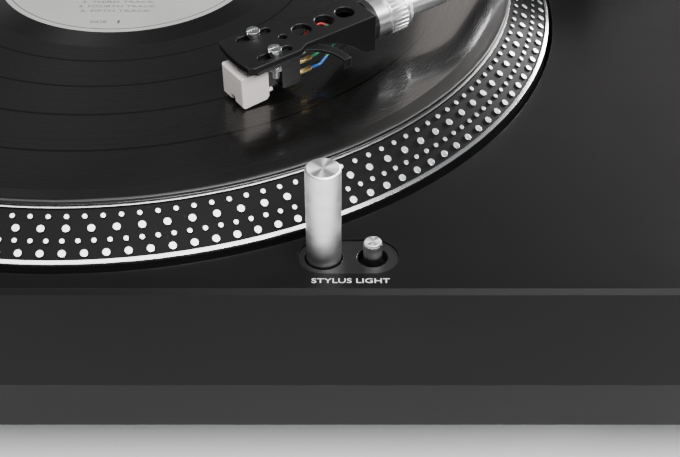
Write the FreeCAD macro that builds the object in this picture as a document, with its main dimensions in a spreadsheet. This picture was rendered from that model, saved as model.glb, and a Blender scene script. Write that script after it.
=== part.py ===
"""A direct-drive turntable record player, as an assembly of separate pieces.

The frame has +X to the right of the deck, +Y to its back and +Z up, in millimetres. The origin is on the surface
that the feet stand on, below the middle of the plinth. The platter spins about a vertical line through
(platter_x, platter_y), and the tonearm turns about a vertical line through (arm_x, arm_y).
"""

import FreeCAD, Part
import math
import os

import PartDesign
import Sketcher
from FreeCAD import Placement, Rotation, Vector

SIZES = {
    # plinth
    "plinth_width": 450, "plinth_depth": 354, "deck_height": 90, "seam_height": 51.5, "underside_height": 31,
    "deck_thickness": 6, "wall_thickness": 5, "edge_bevel": 1.4, "lower_bevel": 2.5, "corner_radius": 6, "base_floor": 4,
    "boss_x": 212, "boss_y": 163, "foot_x": 178, "foot_y": 134, "foot_radius": 26,
    # platter and what turns with it
    "platter_x": -44, "platter_y": -1.5, "well_radius": 168, "well_floor": 72, "well_wall": 3,
    "platter_radius": 166.2, "rim_top": 101.1, "skirt_bottom": 76, "mat_seat": 98.6, "mat_radius": 149.2,
    "dish_bottom": 93, "record_radius": 150.4, "record_top": 102.9, "groove_level": 102.8, "label_radius": 50,
    "spindle_radius": 3.6, "shaft_radius": 4, "spindle_top": 112.5, "running_gap": 0.05,
    # pop-up lamp and its button
    "lamp_x": 35.1, "lamp_y": -161.4, "lamp_radius": 5.15, "lamp_rise": 32, "lamp_bottom": 68,
    "lamp_button_x": 49.4, "lamp_button_radius": 2.8, "lamp_button_rise": 5.7, "bezel_radius": 7.7,
    # controls
    "start_x": -196, "start_y": -146, "start_side": 24, "speed_y": -163.5, "speed_length": 13, "speed_width": 7,
    "button_gap": 0.3, "button_rise": 2.4, "button_foot": 80, "knob_x": -204, "knob_y": -95, "knob_radius": 9.5,
    "tower_radius": 11.5, "tower_top": 103, "slider_x": 197, "slider_y": -84, "slider_travel": 50,
    # tonearm stand
    "arm_x": 154.6, "arm_y": 79.5, "pivot_height": 125, "socket_radius": 44, "column_radius": 35, "ring_radius": 42,
    "socket_top": 96, "ring_top": 105, "plate_top": 109.3, "flange_radius": 40, "lift_radius": 37, "rest_reach": 62,
    "yaw_radius": 5,
    # tonearm
    "tube_radius": 4.6, "stub_radius": 4.5, "weight_radius": 17, "weight_start": 48,
    # headshell and cartridge, in a frame of their own, whose origin is the stylus tip
    "shell_under": 16, "shell_top": 18, "shell_half": 9.8, "shell_front": 2.1, "shell_step": 18.4,
    "shell_back": 49.2, "shank_height": 11, "screw_back": 9.5, "screw_spread": 6.35,
    # back panel
    "panel_x": -120, "panel_width": 126, "panel_height": 12.6, "panel_low": 53,
}

ARM_HEADING = 230.1  # the way from the pivot to the stylus, in degrees about +Z
REST_HEADING = 256.1  # where the arm lies when it is parked
CUE = (38.4, -19.5)  # the cue lever's axle, from the tonearm's turning axis
CUE_HEIGHT = 114.9
DIAL = (38, 9)  # the anti-skate dial, from the tonearm's turning axis
HEAD_HEADING = 36.0  # the way from the stylus to the back of the headshell
HEAD_RISE = 2.5  # the headshell's back is this much higher than its front
HEAD_ROLL = 3.5  # its right side is this much lower than its left
STYLUS = Vector(7.5, -96.6, 102.93)
SPEED_BUTTONS = {"speed_button_33": -164, "speed_button_45": -146, "speed_button_78": -128}

doc = FreeCAD.newDocument("turntable")
NODES = []


class Size:
    """A number with the spreadsheet expression that gives it."""

    def __init__(self, value, text):
        self.value = float(value)
        self.text = text

    def __add__(self, other):
        return Size(self.value + number(other), f"({self.text} + {text(other)})")

    def __radd__(self, other):
        return self + other

    def __sub__(self, other):
        return Size(self.value - number(other), f"({self.text} - {text(other)})")

    def __rsub__(self, other):
        return Size(number(other) - self.value, f"({text(other)} - {self.text})")

    def __mul__(self, other):
        return Size(self.value * number(other), f"({self.text} * {text(other)})")

    def __rmul__(self, other):
        return self * other

    def __truediv__(self, other):
        return Size(self.value / number(other), f"({self.text} / {text(other)})")

    def __neg__(self):
        return Size(-self.value, f"(0 - {self.text})")


def number(value):
    return value.value if isinstance(value, Size) else float(value)


def text(value):
    return value.text if isinstance(value, Size) else f"({float(value):.6g})"


def make_sheet():
    """Writes the driving dimensions to the spreadsheet and returns them as named sizes."""
    sheet = doc.addObject("Spreadsheet::Sheet", "Sizes")
    for row, (alias, value) in enumerate(SIZES.items(), 1):
        sheet.set(f"A{row}", alias)
        sheet.set(f"B{row}", str(value))
        sheet.setAlias(f"B{row}", alias)
    doc.recompute()
    return {alias: Size(value, f"Sizes.{alias}") for alias, value in SIZES.items()}


class Named:
    """The driving dimensions as attributes."""

    def __init__(self, sizes):
        self.__dict__.update(sizes)


d = Named(make_sheet())


# ---------------------------------------------------------------- general helpers


def bind(thing, name, value):
    """Sets a property, from the spreadsheet where the value comes from there."""
    if isinstance(value, Size):
        thing.setExpression(name, value.text)
    else:
        setattr(thing, name, value)


def locate(thing, at, turn=None):
    """Places a primitive at a point, turned first where a rotation is given."""
    thing.Placement = Placement(Vector(*[number(v) for v in at]), turn or Rotation())
    for axis, value in zip("xyz", at):
        if isinstance(value, Size):
            thing.setExpression(f"Placement.Base.{axis}", value.text)
    return thing


ALONG_X = Rotation(Vector(0, 1, 0), 90)
ALONG_Y = Rotation(Vector(1, 0, 0), -90)


def cylinder(radius, height, at, turn=None):
    thing = doc.addObject("Part::Cylinder", "Cylinder")
    bind(thing, "Radius", radius)
    bind(thing, "Height", height)
    return locate(thing, at, turn)


def cone(low_radius, high_radius, height, at, turn=None):
    thing = doc.addObject("Part::Cone", "Cone")
    bind(thing, "Radius1", low_radius)
    bind(thing, "Radius2", high_radius)
    bind(thing, "Height", height)
    return locate(thing, at, turn)


def block(length, width, height, at, turn=None):
    """A box centred on at in X and Y, standing on it in Z. A turned box has its corner there."""
    thing = doc.addObject("Part::Box", "Box")
    bind(thing, "Length", length)
    bind(thing, "Width", width)
    bind(thing, "Height", height)
    if turn:
        return locate(thing, at, turn)
    return locate(thing, (at[0] - length / 2, at[1] - width / 2, at[2]))


def torus(ring, wire, at, turn=None):
    thing = doc.addObject("Part::Torus", "Torus")
    bind(thing, "Radius1", ring)
    bind(thing, "Radius2", wire)
    return locate(thing, at, turn)


def fuse(*parts):
    if len(parts) == 1:
        return parts[0]
    thing = doc.addObject("Part::MultiFuse", "Fusion")
    thing.Shapes = list(parts)
    thing.Refine = True
    return thing


def cut(base, *tools):
    thing = doc.addObject("Part::Cut", "Cut")
    thing.Base = base
    thing.Tool = fuse(*tools)
    thing.Refine = True
    return thing


def common(first, second):
    thing = doc.addObject("Part::MultiCommon", "Common")
    thing.Shapes = [first, second]
    return thing


def group(*parts):
    """Several separate solids that make one node."""
    thing = doc.addObject("Part::Compound", "Group")
    thing.Links = list(parts)
    return thing


def tube(outer, inner, height, at, turn=None):
    return cut(cylinder(outer, height, at, turn), cylinder(inner, height, at, turn))


def node(label, thing, place=None):
    """Names a finished piece, and gives it its place where it was made in a frame of its own."""
    thing.Label = label
    if place:
        thing.Placement = place
    NODES.append(thing)
    return thing


def plane(body, role):
    return next(f for f in body.Origin.OriginFeatures if f.Role == role)


def new_body(name):
    return doc.addObject("PartDesign::Body", name)


def new_sketch(body, role, height=0):
    """A sketch on one of the body's own origin planes, raised along its normal."""
    sketch = body.newObject("Sketcher::SketchObject", "Sketch")
    sketch.AttachmentSupport = [(plane(body, role), "")]
    sketch.MapMode = "FlatFace"
    sketch.AttachmentOffset = Placement(Vector(0, 0, number(height)), Rotation())
    if isinstance(height, Size):
        sketch.setExpression("AttachmentOffset.Base.z", height.text)
    return sketch


def fix_point(sketch, geometry, end, point):
    """Holds one end of a sketch line, or a circle's centre, at a place from the spreadsheet."""
    for kind, value in zip(("DistanceX", "DistanceY"), point):
        index = sketch.addConstraint(Sketcher.Constraint(kind, -1, 1, geometry, end, number(value)))
        if isinstance(value, Size):
            sketch.setExpression(f"Constraints[{index}]", value.text)


def outline(sketch, points):
    """A closed outline of straight lines through the points."""
    spots = [Vector(number(x), number(y), 0) for x, y in points]
    count = len(spots)
    first = sketch.GeometryCount
    for i in range(count):
        sketch.addGeometry(Part.LineSegment(spots[i], spots[(i + 1) % count]), False)
    for i in range(count):
        sketch.addConstraint(Sketcher.Constraint("Coincident", first + i, 2, first + (i + 1) % count, 1))
    for i, point in enumerate(points):
        fix_point(sketch, first + i, 1, point)


def circle(sketch, centre, radius):
    spot = Vector(number(centre[0]), number(centre[1]), 0)
    index = sketch.addGeometry(Part.Circle(spot, Vector(0, 0, 1), number(radius)), False)
    fix_point(sketch, index, 3, centre)
    held = sketch.addConstraint(Sketcher.Constraint("Radius", index, number(radius)))
    if isinstance(radius, Size):
        sketch.setExpression(f"Constraints[{held}]", radius.text)


def rectangle(sketch, centre, length, width):
    x, y = centre
    outline(sketch, [(x - length / 2, y - width / 2), (x + length / 2, y - width / 2),
                     (x + length / 2, y + width / 2), (x - length / 2, y + width / 2)])


def pad(body, sketch, length):
    feature = body.newObject("PartDesign::Pad", "Pad")
    feature.Profile = sketch
    bind(feature, "Length", length)
    doc.recompute()
    return feature


def pocket(body, sketch, length, up=False):
    """Cuts downward from the sketch, or upward where up is true."""
    feature = body.newObject("PartDesign::Pocket", "Pocket")
    feature.Profile = sketch
    feature.Reversed = up
    bind(feature, "Length", length)
    before = body.Shape.Volume
    doc.recompute()
    if not feature.Shape.Volume < before - 1e-3:
        raise RuntimeError(f"a pocket of {body.Name} cuts nothing")
    return feature


def dress(body, kind, size_name, size, choose):
    """Rounds or bevels the edges of the body's last feature that choose accepts."""
    doc.recompute()
    base = body.Tip
    names = [f"Edge{i}" for i, edge in enumerate(base.Shape.Edges, 1) if choose(edge)]
    if not names:
        raise RuntimeError(f"no edge of {body.Name} to dress")
    feature = body.newObject(kind, "Dressed")
    feature.Base = (base, names)
    bind(feature, size_name, size)
    doc.recompute()
    return feature


def fillet(body, radius, choose):
    return dress(body, "PartDesign::Fillet", "Radius", radius, choose)


def chamfer(body, size, choose):
    return dress(body, "PartDesign::Chamfer", "Size", size, choose)


def upright(edge):
    """An edge that runs along Z."""
    return edge.BoundBox.XLength < 1e-4 and edge.BoundBox.YLength < 1e-4 and edge.BoundBox.ZLength > 1e-3


def level_at(height):
    """Accepts the edges that lie flat at one height."""
    return lambda edge: edge.BoundBox.ZLength < 1e-4 and abs(edge.BoundBox.ZMin - number(height)) < 1e-3


def turned(name, profile, at=(0, 0), steps=()):
    """A piece turned about an upright line through at. The profile's points are radius and height."""
    body = new_body(name)
    sketch = new_sketch(body, "XZ_Plane")
    outline(sketch, profile)
    feature = body.newObject("PartDesign::Revolution", "Revolution")
    feature.Profile = sketch
    feature.ReferenceAxis = (sketch, ["V_Axis"])
    feature.Angle = 360
    body.Placement = Placement(Vector(number(at[0]), number(at[1]), 0), Rotation())
    for axis, value in zip("xy", at):
        if isinstance(value, Size):
            body.setExpression(f"Placement.Base.{axis}", value.text)
    doc.recompute()
    return body


def plate(name, centre, length, width, low, height, corner=None):
    """A flat body with a rectangular outline and, where asked, round upright corners."""
    body = new_body(name)
    sketch = new_sketch(body, "XY_Plane", low)
    rectangle(sketch, centre, length, width)
    pad(body, sketch, height)
    if corner is not None:
        fillet(body, corner, upright)
    return body


def rounded_path(points, radii):
    """Straight runs between the points, joined at each inner point by a tangent arc of the given radius."""
    edges = []
    start = points[0]
    for i in range(1, len(points) - 1):
        back = (points[i - 1] - points[i]).normalize()
        ahead = (points[i + 1] - points[i]).normalize()
        half = math.acos(max(-1, min(1, back.dot(ahead)))) / 2
        reach = radii[i - 1] / math.tan(half)
        enter = points[i] + back * reach
        leave = points[i] + ahead * reach
        centre = points[i] + (back + ahead).normalize() * (radii[i - 1] / math.sin(half))
        middle = centre + (points[i] - centre).normalize() * radii[i - 1]
        edges.append(Part.LineSegment(start, enter).toShape())
        edges.append(Part.Arc(enter, middle, leave).toShape())
        start = leave
    edges.append(Part.LineSegment(start, points[-1]).toShape())
    return Part.Wire(edges)


def swept(points, radii, radius):
    """A round bar along a path."""
    spine = doc.addObject("Part::Feature", "Spine")
    spine.Shape = rounded_path(points, radii)
    section = doc.addObject("Part::Circle", "Section")
    bind(section, "Radius", radius)
    section.Placement = Placement(points[0], Rotation(Vector(0, 0, 1), points[1] - points[0]))
    sweep = doc.addObject("Part::Sweep", "Sweep")
    sweep.Sections = [section]
    sweep.Spine = (spine, [f"Edge{i}" for i in range(1, len(spine.Shape.Edges) + 1)])
    sweep.Solid = True
    sweep.Frenet = False
    return sweep


def around(count, first=0.0):
    """Angles in radians evenly round a circle."""
    return [math.radians(first) + 2 * math.pi * i / count for i in range(count)]


def finish():
    """Checks every object, then writes each named piece to its STEP file."""
    doc.recompute()
    for thing in doc.Objects:
        if "Invalid" in thing.State or "Error" in thing.State:
            raise RuntimeError(f"{thing.Name} ({thing.Label}) failed: {thing.State}")
    os.makedirs("parts", exist_ok=True)
    for name in os.listdir("parts"):
        os.remove(os.path.join("parts", name))
    for thing in NODES:
        shape = thing.Shape
        if shape.isNull() or not shape.isValid() or not shape.Solids:
            raise RuntimeError(f"{thing.Label} has no valid solid")
        shape.exportStep(f"parts/{thing.Label}.step")
        print(f"{thing.Label}: {len(shape.Solids)} solids, {shape.Volume / 1000:.2f} cm3")
    print(len(NODES), "nodes")


# ---------------------------------------------------------------- plinth


def bosses():
    """The places of the case screws: the four corners and a place on each end, clear of the platter's well."""
    corners = [(sx * d.boss_x, sy * d.boss_y) for sx in (-1, 1) for sy in (-1, 1)]
    return corners + [(-d.boss_x, Size(62, "(62)")), (d.boss_x, Size(0, "(0)"))]


def make_top_cover():
    body = new_body("top_cover")
    sketch = new_sketch(body, "XY_Plane", d.seam_height)
    rectangle(sketch, (0, 0), d.plinth_width, d.plinth_depth)
    pad(body, sketch, d.deck_height - d.seam_height)
    fillet(body, d.corner_radius, upright)
    chamfer(body, d.edge_bevel, level_at(d.deck_height))
    hollow = new_sketch(body, "XY_Plane", d.seam_height)
    rectangle(hollow, (0, 0), d.plinth_width - 2 * d.wall_thickness, d.plinth_depth - 2 * d.wall_thickness)
    pocket(body, hollow, d.deck_height - d.seam_height - d.deck_thickness, up=True)
    centre = (d.platter_x, d.platter_y)
    wall = new_sketch(body, "XY_Plane", d.well_floor - 4)
    circle(wall, centre, d.well_radius + d.well_wall)
    pad(body, wall, d.deck_height - d.well_floor + 2)
    well = new_sketch(body, "XY_Plane", d.deck_height)
    circle(well, centre, d.well_radius)
    pocket(body, well, d.deck_height - d.well_floor)
    bearing = new_sketch(body, "XY_Plane", d.well_floor)
    circle(bearing, centre, 12)
    pocket(body, bearing, 4)
    for spot in bosses():
        boss = new_sketch(body, "XY_Plane", d.seam_height)
        circle(boss, spot, 4.5)
        pad(body, boss, d.deck_height - d.seam_height - d.deck_thickness + 1)
    holes = new_sketch(body, "XY_Plane", d.seam_height)
    for spot in bosses():
        circle(holes, spot, 1.5)
    pocket(body, holes, 14, up=True)
    guide = new_sketch(body, "XY_Plane", 62)
    circle(guide, (d.lamp_x, d.lamp_y), d.lamp_radius + 1.6)
    pad(body, guide, 23)
    bore = new_sketch(body, "XY_Plane", d.deck_height)
    circle(bore, (d.lamp_x, d.lamp_y), d.lamp_radius + d.running_gap)
    pocket(body, bore, d.deck_height - 61)
    recess = new_sketch(body, "XY_Plane", d.deck_height)
    stadium(recess, d.bezel_radius)
    pocket(body, recess, 3.5)
    openings = new_sketch(body, "XY_Plane", d.deck_height)
    circle(openings, (d.lamp_button_x, d.lamp_y), 3.2)
    side = d.start_side + 2 * d.button_gap
    rectangle(openings, (d.start_x, d.start_y), side, side)
    for x in SPEED_BUTTONS.values():
        rectangle(openings, (x, d.speed_y), d.speed_length + 2 * d.button_gap, d.speed_width + 2 * d.button_gap)
    circle(openings, (d.knob_x, d.knob_y), 3)
    rectangle(openings, (d.slider_x, d.slider_y), 5, 2 * d.slider_travel + 12)
    circle(openings, (d.arm_x, d.arm_y), d.column_radius + 0.5)
    pocket(body, openings, d.deck_thickness + 1)
    panel = new_sketch(body, "XZ_Plane", -d.plinth_depth / 2)
    rectangle(panel, (d.panel_x, d.panel_low + d.panel_height / 2), d.panel_width, d.panel_height)
    cutout = body.newObject("PartDesign::Pocket", "PanelCutout")
    cutout.Profile = panel
    cutout.Type = 0
    bind(cutout, "Length", d.wall_thickness + 0.5)
    cutout.Reversed = True
    before = body.Shape.Volume
    doc.recompute()
    if cutout.Shape.Volume >= before - 1:
        cutout.Reversed = False
        doc.recompute()
    node("top_cover", body)


def stadium(sketch, radius):
    """Adds the lamp bezel's outline: two half circles and two straight sides."""
    left, right, middle, r = d.lamp_x.value, d.lamp_button_x.value, d.lamp_y.value, number(radius)
    up = Vector(0, 0, 1)
    first = Part.ArcOfCircle(Part.Circle(Vector(left, middle, 0), up, r), math.pi / 2, 3 * math.pi / 2)
    second = Part.ArcOfCircle(Part.Circle(Vector(right, middle, 0), up, r), -math.pi / 2, math.pi / 2)
    a = sketch.addGeometry(first, False)
    b = sketch.addGeometry(second, False)
    low = sketch.addGeometry(Part.LineSegment(Vector(left, middle - r, 0), Vector(right, middle - r, 0)), False)
    high = sketch.addGeometry(Part.LineSegment(Vector(right, middle + r, 0), Vector(left, middle + r, 0)), False)
    for line, start, end in ((low, (a, 2), (b, 1)), (high, (b, 2), (a, 1))):
        sketch.addConstraint(Sketcher.Constraint("Tangent", start[0], start[1], line, 1))
        sketch.addConstraint(Sketcher.Constraint("Tangent", line, 2, end[0], end[1]))
    fix_point(sketch, a, 3, (d.lamp_x, d.lamp_y))
    index = sketch.addConstraint(Sketcher.Constraint("DistanceX", -1, 1, b, 3, right))
    sketch.setExpression(f"Constraints[{index}]", d.lamp_button_x.text)
    held = sketch.addConstraint(Sketcher.Constraint("Radius", a, r))
    if isinstance(radius, Size):
        sketch.setExpression(f"Constraints[{held}]", radius.text)


def make_base_cabinet():
    body = plate("base_cabinet", (0, 0), d.plinth_width, d.plinth_depth, d.underside_height,
                 d.seam_height - d.underside_height, d.corner_radius)
    chamfer(body, d.lower_bevel, level_at(d.underside_height))
    hollow = new_sketch(body, "XY_Plane", d.seam_height)
    rectangle(hollow, (0, 0), d.plinth_width - 2 * d.wall_thickness, d.plinth_depth - 2 * d.wall_thickness)
    pocket(body, hollow, d.seam_height - d.underside_height - d.base_floor)
    for spot in bosses():
        boss = new_sketch(body, "XY_Plane", d.underside_height + 2)
        circle(boss, spot, 4.5)
        pad(body, boss, d.seam_height - d.underside_height - 2)
    holes = new_sketch(body, "XY_Plane", d.seam_height)
    heads = new_sketch(body, "XY_Plane", d.underside_height)
    for spot in bosses():
        circle(holes, spot, 1.7)
        circle(heads, spot, 3.2)
    pocket(body, holes, 30)
    pocket(body, heads, 3, up=True)
    feet = new_sketch(body, "XY_Plane", d.underside_height)
    for x, y in foot_places():
        circle(feet, (x, y), 2.6)
    pocket(body, feet, 6, up=True)
    node("base_cabinet", body)


def foot_places():
    return [(sx * d.foot_x, sy * d.foot_y) for sx in (-1, 1) for sy in (-1, 1)]


def screw(x, y, bottom, length, radius=1.5, head_radius=3, head=2):
    """A screw that points up, with a cross recess in its head."""
    shaft = cylinder(radius, length, (x, y, bottom))
    top = cylinder(head_radius, head, (x, y, bottom))
    slots = [block(head_radius * 1.2, 0.8, head * 0.5, (x, y, bottom)),
             block(0.8, head_radius * 1.2, head * 0.5, (x, y, bottom))]
    return cut(fuse(shaft, top), *slots)


def make_case_screws():
    places = bosses()
    node("case_screws", group(*[screw(x, y, d.underside_height + 1, d.seam_height - d.underside_height + 9)
                                for x, y in places]))


def make_feet():
    feet = []
    pads = []
    for x, y in foot_places():
        flare = cone(d.foot_radius - 1.5, d.foot_radius, 14, (x, y, 6))
        neck = cone(d.foot_radius - 4, d.foot_radius - 7, 11, (x, y, 20))
        stud = cylinder(2.5, 8, (x, y, 28))
        grip = [cylinder(0.9, 9, (x + d.foot_radius * math.cos(a), y + d.foot_radius * math.sin(a), 8.5))
                for a in around(24)]
        feet.append(cut(fuse(flare, neck, stud), *grip))
        ring = cone(d.foot_radius - 5, d.foot_radius - 3, 6, (x, y, 0))
        pads.append(cut(ring, cylinder(d.foot_radius - 10, 2, (x, y, 0))))
    node("feet", group(*feet))
    node("foot_pads", group(*pads))


# ---------------------------------------------------------------- platter and motor


def make_platter():
    centre = (d.platter_x, d.platter_y)
    field = 0.69
    land = 0.44
    slope = 0.5623
    node("platter", turned("platter", [
        (d.shaft_radius, d.mat_seat), (149.4, d.mat_seat), (149.7, d.rim_top), (150.8, d.rim_top - land),
        (150.8, d.rim_top - land - field), (165, d.rim_top - land - field - 14.2 * slope),
        (165, d.rim_top - land - 14.2 * slope), (d.platter_radius, d.rim_top - land - 15.4 * slope),
        (d.platter_radius, d.skirt_bottom), (d.platter_radius - 4, d.skirt_bottom),
        (d.platter_radius - 5, d.dish_bottom - 6), (149, d.dish_bottom), (14, d.dish_bottom),
        (12, d.dish_bottom - 2), (12, d.dish_bottom - 7), (d.shaft_radius, d.dish_bottom - 7)], centre))
    node("rotor_magnet", turned("rotor_magnet", [
        (51, d.dish_bottom), (63, d.dish_bottom), (63, 80), (51, 80)], centre))
    node("spindle", turned("spindle", [
        (0, 48), (d.shaft_radius - 0.6, 48), (d.shaft_radius, 48.8), (d.shaft_radius, d.mat_seat),
        (d.spindle_radius - 0.2, d.mat_seat), (d.spindle_radius - 0.2, d.record_top + 0.1),
        (d.spindle_radius, d.record_top + 0.1), (d.spindle_radius, d.spindle_top - 4),
        (2.6, d.spindle_top - 0.8), (1.6, d.spindle_top), (0, d.spindle_top)], centre))
    ribs = []
    for k in range(9):
        r = 138 - 9.5 * k
        ribs += [(r, 101.1), (r - 0.4, 100.6), (r - 1.6, 100.6), (r - 2.0, 101.1)]
    node("rubber_mat", turned("rubber_mat", [
        (d.spindle_radius + 0.4, d.mat_seat), (d.mat_radius, d.mat_seat), (d.mat_radius, 100.8),
        (d.mat_radius - 0.3, 101.1)] + ribs + [(54, 101.1), (53, 100.5), (d.spindle_radius + 0.4, 100.5)], centre))
    groove = d.groove_level
    node("record", turned("record", [
        (d.spindle_radius + 0.05, 101.1), (d.record_radius - 0.8, 101.1), (d.record_radius - 0.2, 101.4),
        (d.record_radius, 101.9), (d.record_radius - 0.2, 102.5), (d.record_radius - 0.8, d.record_top - 0.05),
        (148.4, d.record_top), (147.4, groove), (53, groove), (52.6, d.record_top - 0.1),
        (51, d.record_top - 0.1), (d.label_radius + 0.05, d.record_top - 0.15),
        (d.spindle_radius + 0.05, d.record_top - 0.15)], centre))
    node("record_label", turned("record_label", [
        (d.spindle_radius + 0.1, d.record_top - 0.15), (d.label_radius, d.record_top - 0.15),
        (d.label_radius, d.record_top), (d.spindle_radius + 0.1, d.record_top)], centre))


def make_motor():
    x, y = d.platter_x, d.platter_y
    centre = (x, y)
    bore = d.shaft_radius + d.running_gap
    node("bearing_housing", turned("bearing_housing", [
        (0, 42), (9, 42), (11.5, 44), (11.5, d.well_floor), (24, d.well_floor), (24, d.well_floor + 2),
        (9, d.well_floor + 3), (8, 84.5), (bore, 84.5), (bore, 47.9), (0, 47.9)], centre))
    arms = []
    coils = []
    for a in around(12):
        turn = Rotation(Vector(0, 0, 1), math.degrees(a))
        reach = turn.multVec(Vector(27, -3.5, 0))
        arms.append(block(22, 7, 6, (x + reach.x, y + reach.y, d.well_floor + 3), turn))
        start = turn.multVec(Vector(33, -5.5, 0))
        cavity = turn.multVec(Vector(32, -3.5, 0))
        coil = block(11, 11, 10, (x + start.x, y + start.y, d.well_floor + 1), turn)
        hole = block(13, 7, 6, (x + cavity.x, y + cavity.y, d.well_floor + 3), turn)
        coils.append(cut(coil, hole))
    ring = tube(30, 24.5, 8, (x, y, d.well_floor))
    rim = tube(49, 46, 8, (x, y, d.well_floor + 2))
    node("stator_core", fuse(ring, rim, *arms))
    node("stator_coils", group(*coils))


# ---------------------------------------------------------------- controls


def make_lamp():
    body = new_body("lamp_bezel")
    outline_sketch = new_sketch(body, "XY_Plane", d.deck_height - 3.5)
    stadium(outline_sketch, d.bezel_radius - 0.05)
    pad(body, outline_sketch, 3.1)
    holes = new_sketch(body, "XY_Plane", d.deck_height - 0.4)
    circle(holes, (d.lamp_x, d.lamp_y), d.lamp_radius + 0.45)
    circle(holes, (d.lamp_button_x, d.lamp_y), 4.5)
    pocket(body, holes, 3.5)
    node("lamp_bezel", body)
    lamp_top = d.deck_height + d.lamp_rise
    spring_foot = d.lamp_bottom - 32.4
    spring_seat = d.lamp_bottom + 20
    pillar = turned("lamp_pillar", [
        (4.2, d.lamp_bottom), (d.lamp_radius, d.lamp_bottom), (d.lamp_radius, lamp_top - 0.5),
        (d.lamp_radius - 0.5, lamp_top), (0, lamp_top), (0, lamp_top - 3), (2.9, lamp_top - 3),
        (2.9, spring_seat), (4.2, spring_seat)],
        (d.lamp_x, d.lamp_y))
    window = new_sketch(pillar, "XZ_Plane", 0)
    rectangle(window, (0, lamp_top - 8), 4.4, 6)
    slot = pillar.newObject("PartDesign::Pocket", "Window")
    slot.Profile = window
    slot.Length = 6
    doc.recompute()
    node("lamp_pillar", pillar)
    spring = doc.addObject("Part::Helix", "Coil")
    spring.Pitch = 5.6
    spring.Height = 51.8
    spring.Radius = 3.5
    wire = doc.addObject("Part::Circle", "Wire")
    wire.Radius = 0.45
    wire.Placement = Placement(Vector(3.5, 0, 0), Rotation(Vector(1, 0, 0), 90))
    sweep = doc.addObject("Part::Sweep", "Spring")
    sweep.Sections = [wire]
    sweep.Spine = (spring, ["Edge1"])
    sweep.Solid = True
    sweep.Frenet = True
    node("lamp_spring", sweep)
    locate(sweep, (d.lamp_x, d.lamp_y, spring_foot))
    node("lamp_button", turned("lamp_button", [
        (0, 79), (4.2, 79), (4.2, 81.5), (d.lamp_button_radius, 82), (d.lamp_button_radius, 94.9), (2.3, 95.7),
        (0, 95.7)], (d.lamp_button_x, d.lamp_y)))


def push_button(name, centre, length, width, corner):
    """A key whose cap stands above the deck. A wider flange below the deck keeps it in, and a stem works the switch."""
    body = plate(name, centre, length, width, d.deck_height - d.deck_thickness - 2, d.deck_thickness + 2 + d.button_rise,
                 corner)
    fillet(body, 0.7, level_at(d.deck_height + d.button_rise))
    lip = new_sketch(body, "XY_Plane", d.deck_height - d.deck_thickness - 1.7)
    rectangle(lip, centre, length + 2, width + 2)
    pad(body, lip, 1.2)
    stem = new_sketch(body, "XY_Plane", d.button_foot)
    circle(stem, centre, 1.8)
    pad(body, stem, 3)
    node(name, body)


def make_buttons():
    push_button("start_button", (d.start_x, d.start_y), d.start_side, d.start_side, 1.2)
    for name, x in SPEED_BUTTONS.items():
        push_button(name, (Size(x, f"({x})"), d.speed_y), d.speed_length, d.speed_width, 0.8)
    board = [block(30, 37, 1.6, (-201, -152.5, 72)), block(98, 13, 1.6, (-167, -164.5, 72)),
             block(18, 52, 1.6, (-207, -112, 72))]
    switches = [(d.start_x, d.start_y)] + [(x, d.speed_y) for x in SPEED_BUTTONS.values()]
    for x, y in switches:
        board.append(block(6, 6, 3.6, (x, y, 73.5)))
        board.append(cylinder(1.6, 1.6, (x, y, 77)))
    posts = [(-213, -90), (-213, -140), (-155, -167), (-137, -167)]
    for x, y in posts:
        board.append(cylinder(1.4, 10.6, (x, y, 73.4)))
    node("control_board", cut(fuse(*board), cylinder(5.5, 4, (-d.boss_x, -d.boss_y, 71))))


def make_power_knob():
    at = (d.knob_x, d.knob_y)
    tower = turned("strobe_tower", [
        (3.05, d.deck_height), (d.tower_radius, d.deck_height), (d.tower_radius, d.tower_top - 1),
        (d.tower_radius - 1, d.tower_top), (3.05, d.tower_top)], at)
    window = new_sketch(tower, "XY_Plane", d.tower_top - 4)
    outline(window, [(7.5, -5), (13, -5), (13, 5), (7.5, 5)])
    pocket(tower, window, 5.5)
    node("strobe_tower", tower)
    tower.Placement = Placement(Vector(number(d.knob_x), number(d.knob_y), 0), Rotation(Vector(0, 0, 1), 30))
    tower.setExpression("Placement.Base.x", d.knob_x.text)
    tower.setExpression("Placement.Base.y", d.knob_y.text)
    turn = Rotation(Vector(0, 0, 1), 30)
    lens = common(block(3.4, 9.8, 5.3, (9.2, 0, 93.6)), cylinder(d.tower_radius - 0.05, 6, (0, 0, 93.5)))
    node("strobe_window", lens)
    locate(lens, (d.knob_x, d.knob_y, 0), turn)
    knob = turned("power_knob", [
        (0, d.deck_height - 8), (2.95, d.deck_height - 8), (2.95, d.tower_top + 0.3),
        (d.knob_radius, d.tower_top + 0.3), (d.knob_radius, d.tower_top + 9), (d.knob_radius - 0.8, d.tower_top + 10),
        (0, d.tower_top + 10)], at)
    mark = new_sketch(knob, "XY_Plane", d.tower_top + 10)
    rectangle(mark, (0, 6), 1, 5)
    pocket(knob, mark, 0.4)
    node("power_knob", knob)


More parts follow.
